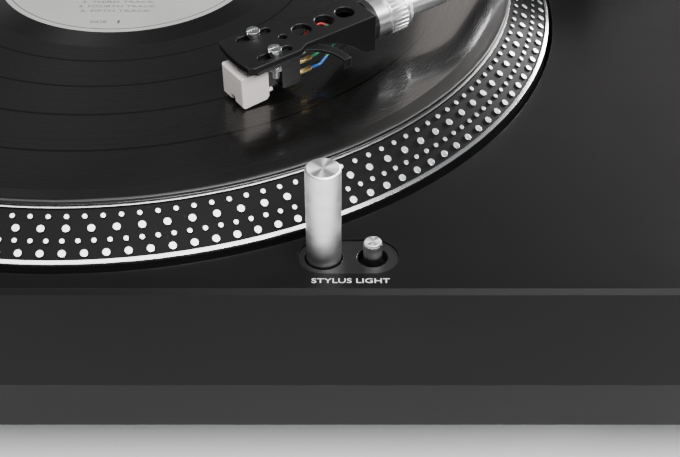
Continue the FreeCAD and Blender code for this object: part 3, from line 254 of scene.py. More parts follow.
def fine_grain() -> bpy.types.NodeTree:
    """Builds the fine grain of paint and moulded plastic, and its slow change of shade."""
    effect = Effect("fine_grain", [("Scale", "Float", 2500.0)], ["Height", "Shade", "Wipe"])
    graph = effect.graph
    place = graph.place()
    fine = graph.noise(place, effect.given["Scale"], 2.0, 0.5)
    slow = graph.noise(place, 14.0, 3.0)
    long = graph.vector("MULTIPLY", place, (9.0, 60.0, 60.0)).outputs[0]
    effect.put_out(Height=fine, Shade=slow, Wipe=graph.noise(long, 1.0, 4.0))
    return effect.tree


def brushing() -> bpy.types.NodeTree:
    """Builds the fine lines of brushed or turned metal from a place stretched along them."""
    effect = Effect("brushing", [("Place", "Vector", (0.0, 0.0, 0.0))], ["Lines", "Bands"])
    graph = effect.graph
    place = effect.given["Place"]
    effect.put_out(Lines=graph.noise(place, 1.0, 5.0, 0.7), Bands=graph.noise(place, 0.09, 3.0, 0.5))
    return effect.tree


def settled_dust() -> bpy.types.NodeTree:
    """Builds the mask of dust and lint specks on faces that look up."""
    effect = Effect("settled_dust", [("Amount", "Float", 0.1)], ["Mask"])
    graph = effect.graph
    place = graph.place()
    up = graph.add("SeparateXYZ", None, Vector=graph.add("NewGeometry").outputs["Normal"]).outputs[2]
    specks = graph.between(graph.noise(place, 1400.0, 2.0), 0.66, 0.74)
    clouds = graph.between(graph.noise(place, 22.0, 4.0), 0.35, 0.75)
    lying = graph.math("MULTIPLY", graph.between(up, 0.5, 0.95), graph.math("MULTIPLY", specks, clouds))
    effect.put_out(Mask=graph.math("MULTIPLY", lying, effect.given["Amount"]))
    return effect.tree


WORN_AND_HIGHLIT_EDGES = worn_edges()
POLAR_PLACE = polar_place()
FINE_GRAIN = fine_grain()
BRUSHING = brushing()
SETTLED_DUST = settled_dust()
DUST_COLOUR = (0.30, 0.29, 0.28)


# ---------------------------------------------------------------- finishes


class Lay(Enum):
    """Which way the fine lines of a metal run."""

    ROUND = "round"
    ALONG_X = "along_x"
    ALONG_Y = "along_y"
    CAST = "cast"


LINE_STRETCH = {
    Lay.ALONG_X: (40.0, 4000.0, 4000.0),
    Lay.ALONG_Y: (4000.0, 40.0, 4000.0),
    Lay.CAST: (700.0, 700.0, 700.0),
}


class Finish(Protocol):
    """What every finish has: a name, and a way to build its material."""

    name: str

    def material(self) -> bpy.types.Material:
        """Builds the material."""


def shaded(name: str) -> tuple[bpy.types.Material, Graph, bpy.types.Node]:
    """Makes a material with a Principled surface.

    Args:
        name: the material's name.

    Returns:
        The material, its graph and its surface node.
    """
    material = bpy.data.materials.new(name)
    material.use_nodes = True
    material.node_tree.nodes.clear()
    graph = Graph(material.node_tree)
    surface = graph.add("BsdfPrincipled")
    graph.feed(graph.add("OutputMaterial").inputs["Surface"], surface.outputs[0])
    return material, graph, surface


def turned_lines(graph: Graph, polar: bpy.types.Node, fine: float, long: float) -> bpy.types.Node:
    """Places the brushing group on lines left by a lathe.

    Args:
        graph: the material's graph.
        polar: its polar_place group.
        fine: how close the lines are, for each millimetre across them.
        long: how often they change in a turn.

    Returns:
        The brushing group.
    """
    place = graph.add("CombineXYZ", None, X=graph.math("MULTIPLY", polar.outputs["Radius"], fine),
                      Y=graph.math("MULTIPLY", polar.outputs["Height"], fine),
                      Z=graph.math("MULTIPLY", polar.outputs["Angle"], long)).outputs[0]
    return graph.group(BRUSHING, Place=place)


def scaled(colour: Colour, factor: float) -> Colour:
    """A colour made lighter or darker."""
    return tuple(min(1.0, part * factor) for part in colour)


@dataclass(frozen=True)
class Paint:
    """Satin paint or moulded plastic: fine grain, faint wipe marks, a little dust, and lighter edges that are
    partly rubbed wear and partly a painted edge highlight.
    """

    name: str
    colour: Colour
    roughness: float = 0.4
    grain_scale: float = 2500.0
    grain_depth: float = 0.012
    # colour of the lighter edges: partly rubbed paint, partly a painted edge highlight
    worn: Colour = (0.16, 0.16, 0.165)
    wear: float = 0.5
    edge: float = 0.35 * MM
    dust: float = 0.25
    clear: float = 0.0
    specular: float = 0.5

    def material(self) -> bpy.types.Material:
        """Builds the finish."""
        material, graph, surface = shaded(self.name)
        grain = graph.group(FINE_GRAIN, Scale=self.grain_scale)
        rubbed_and_highlit = graph.group(WORN_AND_HIGHLIT_EDGES, Width=self.edge).outputs[0]
        dust = graph.group(SETTLED_DUST, Amount=self.dust).outputs[0]
        shade = graph.between(grain.outputs["Shade"], 0.3, 0.7)
        colour = graph.mix(shade, scaled(self.colour, 0.9), scaled(self.colour, 1.12))
        # edges take the lighter colour: partly rubbed wear, partly a painted highlight along the edges
        colour = graph.mix(graph.math("MULTIPLY", rubbed_and_highlit, self.wear), colour, self.worn)
        graph.feed(surface.inputs["Base Color"], graph.mix(dust, colour, DUST_COLOUR))
        wiped = graph.between(grain.outputs["Wipe"], 0.3, 0.7, self.roughness - 0.04, self.roughness + 0.04)
        graph.feed(surface.inputs["Roughness"], graph.math("ADD", wiped, graph.math("MULTIPLY", dust, 0.3)))
        surface.inputs["Specular IOR Level"].default_value = self.specular
        surface.inputs["Coat Weight"].default_value = self.clear
        surface.inputs["Coat Roughness"].default_value = 0.08
        graph.relief(surface, grain.outputs["Height"], 0.5, self.grain_depth)
        return material


@dataclass(frozen=True)
class Metal:
    """Bare or plated metal with fine lines, slow changes of shade, and brighter edges that are partly rubbed wear
    and partly a painted edge highlight.
    """

    name: str
    colour: Colour
    roughness: float = 0.25
    lay: Lay = Lay.CAST
    centre: tuple[float, float, float] = (0.0, 0.0, 0.0)
    depth: float = 0.004
    streak: float = 0.12
    stretched: float = 0.0

    def lines(self, graph: Graph) -> bpy.types.Node:
        """Places the brushing group along this metal's lines."""
        if self.lay is Lay.ROUND:
            return turned_lines(graph, graph.group(POLAR_PLACE, Centre=self.centre), 5.0, 6.0)
        place = graph.vector("MULTIPLY", graph.place(), LINE_STRETCH[self.lay]).outputs[0]
        return graph.group(BRUSHING, Place=place)

    def material(self) -> bpy.types.Material:
        """Builds the finish."""
        material, graph, surface = shaded(self.name)
        lines = self.lines(graph)
        rubbed_and_highlit = graph.group(WORN_AND_HIGHLIT_EDGES, Width=0.25 * MM).outputs[0]
        shade = graph.between(lines.outputs["Lines"], 0.25, 0.75)
        low, high = scaled(self.colour, 1 - self.streak), scaled(self.colour, 1 + self.streak)
        # brighter colour at the edges: partly rubbed metal, partly a painted edge highlight
        bright = scaled(self.colour, 1.35)
        rubbed_and_highlit = graph.math("MULTIPLY", rubbed_and_highlit, 0.5)
        graph.feed(surface.inputs["Base Color"], graph.mix(rubbed_and_highlit, graph.mix(shade, low, high), bright))
        spread = graph.between(lines.outputs["Bands"], 0.3, 0.7, self.roughness - 0.05, self.roughness + 0.06)
        graph.feed(surface.inputs["Roughness"], spread)
        surface.inputs["Metallic"].default_value = 1.0
        if self.stretched:
            graph.stretch(surface, self.stretched)
        graph.relief(surface, lines.outputs["Lines"], 0.35, self.depth)
        return material


@dataclass(frozen=True)
class MachinedPlatter:
    """The platter: bare turned lands at the edges of the slope, and black paint between them."""

    name: str = "platter_metal"
    bare: Colour = (0.72, 0.72, 0.73)
    black: Colour = (0.0045, 0.0045, 0.0047)
    field: tuple[float, float] = (150.7, 164.97)

    def material(self) -> bpy.types.Material:
        """Builds the finish."""
        material, graph, surface = shaded(self.name)
        polar = graph.group(POLAR_PLACE, Centre=PLATTER_CENTRE)
        lines = turned_lines(graph, polar, 7.0, 20.0)
        painted = graph.band(polar.outputs["Radius"], *self.field, 0.02)
        grain = graph.group(FINE_GRAIN, Scale=2200.0)
        dust = graph.group(SETTLED_DUST, Amount=0.1).outputs[0]
        shade = graph.between(lines.outputs["Lines"], 0.25, 0.75)
        bare = graph.mix(shade, scaled(self.bare, 0.85), scaled(self.bare, 1.15))
        paint = graph.mix(dust, self.black, DUST_COLOUR)
        graph.feed(surface.inputs["Base Color"], graph.mix(painted, bare, paint))
        graph.feed(surface.inputs["Metallic"], graph.math("SUBTRACT", 1.0, painted))
        turned = graph.between(lines.outputs["Bands"], 0.3, 0.7, 0.17, 0.27)
        satin = graph.between(grain.outputs["Shade"], 0.3, 0.7, 0.4, 0.48)
        surface.inputs["Specular IOR Level"].default_value = 0.06
        rough = graph.add("Mix", {"data_type": "FLOAT"})
        graph.feed(rough.inputs[0], painted)
        graph.feed(rough.inputs[2], turned)
        graph.feed(rough.inputs[3], satin)
        graph.feed(surface.inputs["Roughness"], rough.outputs[0])
        graph.relief(surface, grain.outputs["Height"], 0.35, 0.006)
        return material


@dataclass(frozen=True)
class Vinyl:
    """Pressed vinyl: fine grooves that stretch the light across them, track gaps and a clear gloss."""

    name: str = "record_vinyl"
    colour: Colour = (0.0020, 0.0018, 0.0017)
    gaps: tuple[float, ...] = (124.6, 104.2, 86.9, 70.4)
    grooved: tuple[float, float] = (60.5, 144.6)

    def material(self) -> bpy.types.Material:
        """Builds the finish."""
        material, graph, surface = shaded(self.name)
        polar = graph.group(POLAR_PLACE, Centre=PLATTER_CENTRE)
        radius = polar.outputs["Radius"]
        loudness = graph.add("CombineXYZ", None, X=graph.math("MULTIPLY", radius, 1.7)).outputs[0]
        loud = graph.noise(loudness, 1.0, 6.0, 0.75)
        fine = graph.add("CombineXYZ", None, X=graph.math("MULTIPLY", radius, 11.0),
                         Y=graph.math("MULTIPLY", polar.outputs["Angle"], 9.0)).outputs[0]
        grooves = graph.noise(fine, 1.0, 3.0, 0.6)
        grooved = graph.band(radius, *self.grooved, 0.15)
        pressed = grooved
        for gap in self.gaps:
            clear = graph.math("SUBTRACT", 1.0, graph.band(radius, gap - 0.45, gap + 0.45, 0.12))
            pressed = graph.math("MULTIPLY", pressed, clear)
        dust = graph.group(SETTLED_DUST, Amount=0.06).outputs[0]
        body = graph.mix(graph.between(loud, 0.3, 0.72), scaled(self.colour, 0.7), scaled(self.colour, 1.9))
        body = graph.mix(pressed, scaled(self.colour, 0.75), body)
        graph.feed(surface.inputs["Base Color"], graph.mix(dust, body, DUST_COLOUR))
        quiet = graph.between(loud, 0.3, 0.7, 0.22, 0.34)
        edges = graph.math("MULTIPLY", graph.math("SUBTRACT", 1.0, grooved), 0.12)
        shiny = graph.math("MULTIPLY", graph.math("SUBTRACT", pressed, grooved), 0.12)
        graph.feed(surface.inputs["Roughness"], graph.math("ADD", graph.math("ADD", quiet, edges), shiny))
        graph.stretch(surface, 0.82)
        surface.inputs["Specular IOR Level"].default_value = 0.4
        graph.feed(surface.inputs["Coat Weight"], graph.between(pressed, 0.0, 1.0, 0.1, 0.5))
        surface.inputs["Coat Roughness"].default_value = 0.09
        graph.relief(surface, graph.math("MULTIPLY", grooves, pressed), 0.25, 0.004)
        return material


@dataclass(frozen=True)
class LabelPaper:
    """The label's pressed paper: fibres, a moulded ring and a soft change of shade."""

    name: str = "label_paper"
    colour: Colour = (0.22, 0.222, 0.215)

    def material(self) -> bpy.types.Material:
        """Builds the finish."""
        material, graph, surface = shaded(self.name)
        polar = graph.group(POLAR_PLACE, Centre=PLATTER_CENTRE)
        place = graph.place()
        fibres = graph.noise(graph.vector("MULTIPLY", place, (900.0, 2600.0, 900.0)).outputs[0], 1.0, 4.0)
        shade = graph.between(graph.noise(place, 35.0, 4.0), 0.3, 0.7)
        ring = graph.band(polar.outputs["Radius"], 35.2, 36.2, 0.3)
        colour = graph.mix(shade, scaled(self.colour, 0.93), scaled(self.colour, 1.06))
        colour = graph.mix(graph.between(fibres, 0.35, 0.65, 0.0, 0.12), colour, (0.4, 0.4, 0.37))
        colour = graph.mix(graph.math("MULTIPLY", ring, 0.18), colour, (0.2, 0.2, 0.2))
        graph.feed(surface.inputs["Base Color"], colour)
        graph.feed(surface.inputs["Roughness"], graph.between(fibres, 0.3, 0.7, 0.5, 0.66))
        pressed = graph.math("ADD", graph.math("MULTIPLY", ring, -3.0), fibres)
        graph.relief(surface, pressed, 0.4, 0.015)
        return material


@dataclass(frozen=True)
class LeadSet:
    """The four coloured lead wires and the plated clips on their ends."""

    name: str = "lead_insulation"
    heading: float = 36.0
    white: Colour = (0.62, 0.62, 0.60)
    blue: Colour = (0.02, 0.12, 0.42)
    green: Colour = (0.02, 0.26, 0.10)
    red: Colour = (0.45, 0.02, 0.015)
    clip: Colour = (0.80, 0.60, 0.26)

    def material(self) -> bpy.types.Material:
        """Builds the finish, with each wire's colour from how far across the headshell it lies."""
        material, graph, surface = shaded(self.name)
        away = graph.vector("SUBTRACT", graph.place(), STYLUS_TIP).outputs[0]
        heading = -math.radians(self.heading)
        turned = graph.add("VectorRotate", {"rotation_type": "Z_AXIS"}, Vector=away, Angle=heading)
        along, across, rise = graph.add("SeparateXYZ", None, Vector=turned.outputs[0]).outputs
        upper = graph.between(rise, 7.9 * MM, 8.0 * MM)
        right = graph.mix(upper, self.blue, self.green)
        left = graph.mix(upper, self.white, self.red)
        colour = graph.mix(graph.between(across, 2.0 * MM, 2.1 * MM), right, left)
        weave = graph.noise(graph.place(), 3000.0, 2.0)
        colour = graph.mix(graph.between(weave, 0.35, 0.65, 0.0, 0.3), colour, (0.02, 0.02, 0.02))
        metal = graph.between(along, 24.8 * MM, 24.7 * MM)
        graph.feed(surface.inputs["Base Color"], graph.mix(metal, colour, self.clip))
        graph.feed(surface.inputs["Metallic"], metal)
        graph.feed(surface.inputs["Roughness"], graph.between(weave, 0.3, 0.7, 0.28, 0.4))
        graph.relief(surface, weave, 0.3, 0.01)
        return material


@dataclass(frozen=True)
class LitLens:
    """The strobe window: clear red plastic with a soft light behind it."""

    name: str = "lens_red"
    colour: Colour = (0.55, 0.02, 0.012)

    def material(self) -> bpy.types.Material:
        """Builds the finish."""
        material, graph, surface = shaded(self.name)
        bands = {"wave_type": "BANDS", "bands_direction": "Z"}
        shade = graph.add("TexWave", bands, Vector=graph.place(), Scale=900.0).outputs[1]
        graph.feed(surface.inputs["Base Color"], graph.mix(shade, scaled(self.colour, 0.7), self.colour))
        graph.feed(surface.inputs["Emission Color"], graph.mix(shade, (0.25, 0.01, 0.0), (0.9, 0.05, 0.02)))
        surface.inputs["Emission Strength"].default_value = 0.35
        surface.inputs["Roughness"].default_value = 0.12
        graph.relief(surface, shade, 0.4, 0.05)
        return material


@dataclass(frozen=True)
class Winding:
    """Enamelled copper wire, wound in even turns."""

    name: str = "copper"
    colour: Colour = (0.62, 0.25, 0.10)

    def material(self) -> bpy.types.Material:
        """Builds the finish."""
        material, graph, surface = shaded(self.name)
        polar = graph.group(POLAR_PLACE, Centre=PLATTER_CENTRE)
        turns = graph.math("SINE", graph.math("MULTIPLY", polar.outputs["Radius"], 16.0))
        shade = graph.between(turns, -1.0, 1.0)
        graph.feed(surface.inputs["Base Color"], graph.mix(shade, scaled(self.colour, 0.45), self.colour))
        graph.feed(surface.inputs["Roughness"], graph.between(turns, -1.0, 1.0, 0.42, 0.25))
        surface.inputs["Metallic"].default_value = 0.9
        graph.relief(surface, shade, 0.8, 0.12)
        return material


@dataclass(frozen=True)
class CircuitBoard:
    """A green lacquered board with copper tracks under the lacquer, and black parts on it."""

    name: str
    board_top: float
    colour: Colour = (0.012, 0.10, 0.04)

    def material(self) -> bpy.types.Material:
        """Builds the finish."""
        material, graph, surface = shaded(self.name)
        place = graph.place()
        cells = graph.add("TexVoronoi", {"feature": "DISTANCE_TO_EDGE"}, Vector=place, Scale=170.0).outputs[0]
        tracks = graph.between(cells, 0.05, 0.03)
        height = graph.add("SeparateXYZ", None, Vector=place).outputs[2]
        part = graph.between(height, self.board_top + 0.1 * MM, self.board_top + 0.15 * MM)
        colour = graph.mix(tracks, self.colour, scaled(self.colour, 2.4))
        graph.feed(surface.inputs["Base Color"], graph.mix(part, colour, (0.02, 0.02, 0.022)))
        graph.feed(surface.inputs["Roughness"], graph.between(cells, 0.0, 0.2, 0.24, 0.36))
        graph.relief(surface, tracks, 0.4, 0.03)
        return material


# the lighter edge colour here stands partly for rubbed paint and partly for a painted highlight along the deck's
# edges
DECK_BLACK = Paint("deck_black", (0.0040, 0.0039, 0.0041), 0.4, 2600.0, 0.008, (0.06, 0.06, 0.062), 0.35,
                   dust=0.05, specular=0.08)
BASE_BLACK = Paint("base_black", (0.0080, 0.0080, 0.0082), 0.46, 1900.0, 0.012, (0.06, 0.06, 0.062), 0.3,
                   dust=0.1, specular=0.13)
FOOT_BLACK = Paint("foot_black", (0.010, 0.010, 0.010), 0.5, 1500.0, 0.03, (0.08, 0.08, 0.08), 0.3)
RUBBER = Paint("pad_rubber", (0.010, 0.010, 0.010), 0.72, 1300.0, 0.05, (0.05, 0.05, 0.05), 0.2)
MAT_RUBBER = Paint("mat_rubber", (0.008, 0.008, 0.008), 0.65, 1300.0, 0.05, (0.05, 0.05, 0.05), 0.2)
TRIM_BLACK = Paint("trim_black", (0.008, 0.008, 0.0082), 0.32, 2200.0, 0.012, (0.1, 0.1, 0.1), 0.4,
                   specular=0.4)
ARM_CASTING = Paint("arm_casting", (0.03, 0.03, 0.032), 0.42, 1500.0, 0.03, (0.14, 0.14, 0.14), 0.4)
# strong lighter edges: partly rubbed paint, partly a painted highlight on the headshell's thin edges
HEADSHELL = Paint("headshell_black", (0.0050, 0.0050, 0.0052), 0.34, 2600.0, 0.006, (0.11, 0.11, 0.115), 0.7,
                  0.3 * MM, 0.05, specular=0.2)
CARTRIDGE = Paint("cartridge_black", (0.006, 0.006, 0.006), 0.16, 1800.0, 0.004, (0.1, 0.1, 0.1), 0.3,
                  dust=0.05, clear=0.3)
STYLUS_GREY = Paint("stylus_grey", (0.60, 0.555, 0.53), 0.38, 1500.0, 0.008, (0.6, 0.58, 0.57), 0.4,
                    dust=0.03)
WEIGHT = Paint("weight_metal", (0.02, 0.02, 0.021), 0.3, 1800.0, 0.012, (0.2, 0.2, 0.2), 0.6)
WHITE_PRINT = Paint("white_print", (0.5, 0.5, 0.5), 0.5, 3000.0, 0.004, (0.5, 0.5, 0.5), 0.0, dust=0.05)
DARK_PRINT = Paint("dark_print", (0.05, 0.05, 0.055), 0.5, 3000.0, 0.004, wear=0.0, dust=0.05)
RED_PLASTIC = Paint("red_plastic", (0.4, 0.02, 0.015), 0.35, wear=0.2)
WHITE_PLASTIC = Paint("white_plastic", (0.62, 0.62, 0.6), 0.35, wear=0.2)
STEEL = Metal("steel", (0.56, 0.56, 0.57), 0.28, Lay.CAST)
MAGNET = Metal("magnet_grey", (0.16, 0.16, 0.17), 0.5, Lay.CAST)
BRASS = Metal("bearing_brass", (0.62, 0.45, 0.2), 0.3, Lay.ROUND, PLATTER_CENTRE)
GOLD = Metal("socket_gold", (0.82, 0.62, 0.28), 0.2, Lay.ALONG_Y)
POLISHED = Metal("polished_steel", (0.72, 0.72, 0.73), 0.12, Lay.ROUND, PLATTER_CENTRE, 0.002)
SATIN = Metal("satin_metal", (0.62, 0.62, 0.63), 0.27, Lay.ROUND, ARM_CENTRE)
ARM_SILVER = Metal("arm_silver", (0.86, 0.86, 0.86), 0.32, Lay.CAST, depth=0.001, streak=0.03)
BRUSHED_TRIM = Metal("brushed_trim", (0.2, 0.2, 0.205), 0.34, Lay.ALONG_Y)
BUTTON_METAL = Metal("button_metal", (0.46, 0.46, 0.47), 0.3, Lay.ALONG_X)


# ---------------------------------------------------------------- pieces


class Workshop:
    """Builds materials once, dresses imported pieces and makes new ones."""

    def __init__(self) -> None:
        """Starts with no materials built."""
        self.materials: dict[str, bpy.types.Material] = {}

    def finish(self, finish: Finish) -> bpy.types.Material:
        """Builds a finish the first time it is asked for.

        Args:
            finish: any of the finish classes.

        Returns:
            Its material.
        """
        key = repr(finish)
        if key not in self.materials:
            self.materials[key] = finish.material()
        return self.materials[key]

    def dress(self, node: str, finish: Finish, width: float) -> None:
        """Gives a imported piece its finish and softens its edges.

        Args:
            node: the piece's name.
            finish: what it is made of.
            width: how wide its sharp edges are rounded, or 0.
        """
        piece = NODES[node]
        piece.data.materials.clear()
        piece.data.materials.append(self.finish(finish))
        soften(piece, width)
        LOG.info("dressed %s as %s", node, finish.name)

    def dress_all(self, *rows: tuple) -> None:
        """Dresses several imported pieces.

        Args:
            rows: for each piece its name, its finish, and the width of its rounded edges in millimetres.
        """
        for node, finish, width in rows:
            self.dress(node, finish, width * MM)

    def piece(self, name: str, mesh: bpy.types.Mesh, body: str, slot: str,
              *finishes: Finish) -> bpy.types.Object:
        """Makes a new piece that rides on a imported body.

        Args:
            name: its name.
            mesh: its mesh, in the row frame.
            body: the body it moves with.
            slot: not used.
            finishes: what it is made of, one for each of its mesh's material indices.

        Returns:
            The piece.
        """
        made = bpy.data.objects.new(name, mesh)
        bpy.context.scene.collection.objects.link(made)
        for finish in finishes:
            mesh.materials.append(self.finish(finish))
        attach(made, body)
        LOG.info("made %s on %s", name, body)
        return made


def soften(piece: bpy.types.Object, width: float) -> None:
    """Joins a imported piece's triangles, rounds its sharp edges and evens its normals.

    Args:
        piece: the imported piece.
        width: how wide the rounding is, or 0 for none.
    """
    weld = piece.modifiers.new("weld", "WELD")
    weld.merge_threshold = WELD_WITHIN
    if width:
        flat = piece.modifiers.new("flat", "DECIMATE")
        flat.decimate_type = "DISSOLVE"
        flat.angle_limit = FLAT_WITHIN
        rounding = piece.modifiers.new("rounding", "BEVEL")
        rounding.width = width
        rounding.segments = 2
        rounding.limit_method = "ANGLE"
        rounding.angle_limit = SHARP_FROM
        rounding.use_clamp_overlap = True
        rounding.harden_normals = False
    even = piece.modifiers.new("even", "WEIGHTED_NORMAL")
    even.mode = "FACE_AREA"
    even.weight = 60


def mesh_of(name: str, points: list, faces: list) -> bpy.types.Mesh:
    """Makes a mesh from its points and faces."""
    mesh = bpy.data.meshes.new(name)
    mesh.from_pydata(points, [], faces)
    mesh.update()
    return mesh


def joined(name: str, meshes: list[bpy.types.Mesh]) -> bpy.types.Mesh:
    """Joins several meshes into one, and removes them."""
    points: list = []
    faces: list = []
    for mesh in meshes:
        first = len(points)
        points += [tuple(vertex.co) for vertex in mesh.vertices]
        faces += [tuple(first + i for i in face.vertices) for face in mesh.polygons]
        bpy.data.meshes.remove(mesh)
    return mesh_of(name, points, faces)


@dataclass(frozen=True)
class Words:
    """A line of print, and the box on the surface that it fills, in millimetres."""

    text: str
    x: float
    y: float
    width: float
    height: float
    turn: float = 0.0


def lettered(line: Words, surface: Matrix) -> bpy.types.Mesh:
    """Makes raised print.

    Args:
        line: the words and their box, on a surface whose X and Y are in millimetres.
        surface: where that surface is in the row frame.

    Returns:
        The print's mesh.
    """
    curve = bpy.data.curves.new("words", "FONT")
    curve.body = line.text
    curve.align_x = "CENTER"
    curve.align_y = "CENTER"
    curve.extrude = 0.5
    curve.resolution_u = 3
    holder = bpy.data.objects.new("words", curve)
    bpy.context.scene.collection.objects.link(holder)
    bpy.context.view_layer.update()
    graph = bpy.context.evaluated_depsgraph_get()
    mesh = bpy.data.meshes.new_from_object(holder.evaluated_get(graph))
    bpy.data.objects.remove(holder)
    bpy.data.curves.remove(curve)
    xs = [vertex.co.x for vertex in mesh.vertices]
    ys = [vertex.co.y for vertex in mesh.vertices]
    middle = Matrix.Translation((-(min(xs) + max(xs)) / 2, -(min(ys) + max(ys)) / 2, 0.5))
    wide = line.width / (max(xs) - min(xs))
    tall = line.height / (max(ys) - min(ys))
    size = Matrix.Diagonal((wide * MM, tall * MM, PRINT_HEIGHT, 1.0))
    turn = Matrix.Rotation(math.radians(line.turn), 4, "Z")
    spot = Matrix.Translation((line.x * MM, line.y * MM, 0.0))
    mesh.transform(surface @ spot @ turn @ size @ middle)
    return mesh


def bars(boxes: list[tuple], surface: Matrix) -> bpy.types.Mesh:
    """Makes raised straight marks.

    Args:
        boxes: the middle, width and height of each mark, in millimetres.
        surface: where the surface they lie on is in the row frame.

    Returns:
        The marks' mesh.
    """
    points: list = []
    faces: list = []
    for x, y, width, height in boxes:
        first = len(points)
        for z in (0.0, PRINT_HEIGHT):
            for sx, sy in ((-1, -1), (1, -1), (1, 1), (-1, 1)):
                points.append(surface @ Vector(((x + sx * width / 2) * MM, (y + sy * height / 2) * MM, z)))
        faces += [[first + i for i in face] for face in
                  ((3, 2, 1, 0), (4, 5, 6, 7), (0, 1, 5, 4), (1, 2, 6, 5), (2, 3, 7, 6), (3, 0, 4, 7))]
    return mesh_of("bars", points, faces)


def band_ring(outer: float, inner: float, surface: Matrix, count: int, height: float) -> bpy.types.Mesh:
    """Makes a flat ring of print or plastic.

    Args:
        outer: its outer radius in millimetres.
        inner: its inner radius in millimetres.
        surface: where the surface it lies on is in the row frame.
        count: how many sides it has.
        height: how thick it is.

    Returns:
        The ring's mesh.
    """
    corners = [(outer, 0.0), (outer, height), (inner, height), (inner, 0.0)]
    points = []
    for k in range(count):
        angle = 2 * math.pi * k / count
        x, y = MM * math.cos(angle), MM * math.sin(angle)
        points += [surface @ Vector((r * x, r * y, z)) for r, z in corners]
    faces = []
    for k in range(count):
        a, b = 4 * k, 4 * ((k + 1) % count)
        faces += [(a + i, b + i, b + (i + 1) % 4, a + (i + 1) % 4) for i in range(4)]
    return mesh_of("ring", points, faces)


def level(x: float, y: float, z: float) -> Matrix:
    """A surface that faces up, at a place in millimetres."""
    return Matrix.Translation((x * MM, y * MM, z * MM))


# ---------------------------------------------------------------- sub-assemblies


@dataclass
class Plinth:
    """The deck, the cabinet below it, its screws and its feet."""

    shop: Workshop
    edge: float = 0.35
    legend_size: float = 1.9

    def build(self) -> None:
        """Dresses the plinth and prints the deck's legends."""
        self.shop.dress_all(
            ("top_cover", DECK_BLACK, self.edge),
            ("base_cabinet", BASE_BLACK, self.edge),
            ("case_screws", STEEL, 0.1),
            ("feet", FOOT_BLACK, 0.3),
            ("foot_pads", RUBBER, 0.3),
            ("main_board", CircuitBoard("main_board_green", 0.0416), 0.1),
            ("transformer", STEEL, 0.2),
            ("control_board", CircuitBoard("control_board_green", 0.0736), 0.1))
        self.legends()

    def legends(self) -> None:
        """Prints the words beside the keys and the lamp."""
        deck = level(0, 0, DECK_TOP / MM)
        lines = [Words("STYLUS LIGHT", 42.9, -172.3, 22.4, 1.95), Words("33", -164, -156.6, 3.4, 2.0),
                 Words("45", -146, -156.6, 3.4, 2.0), Words("78", -128, -156.6, 3.4, 2.0),
                 Words("START  STOP", -196, -163.6, 19.5, self.legend_size),
                 Words("POWER", -204, -79.3, 10.0, self.legend_size)]
        print_mesh = joined("deck_legends", [lettered(line, deck) for line in lines])
        self.shop.piece("deck_legends", print_mesh, "plinth", "label_paper", WHITE_PRINT)


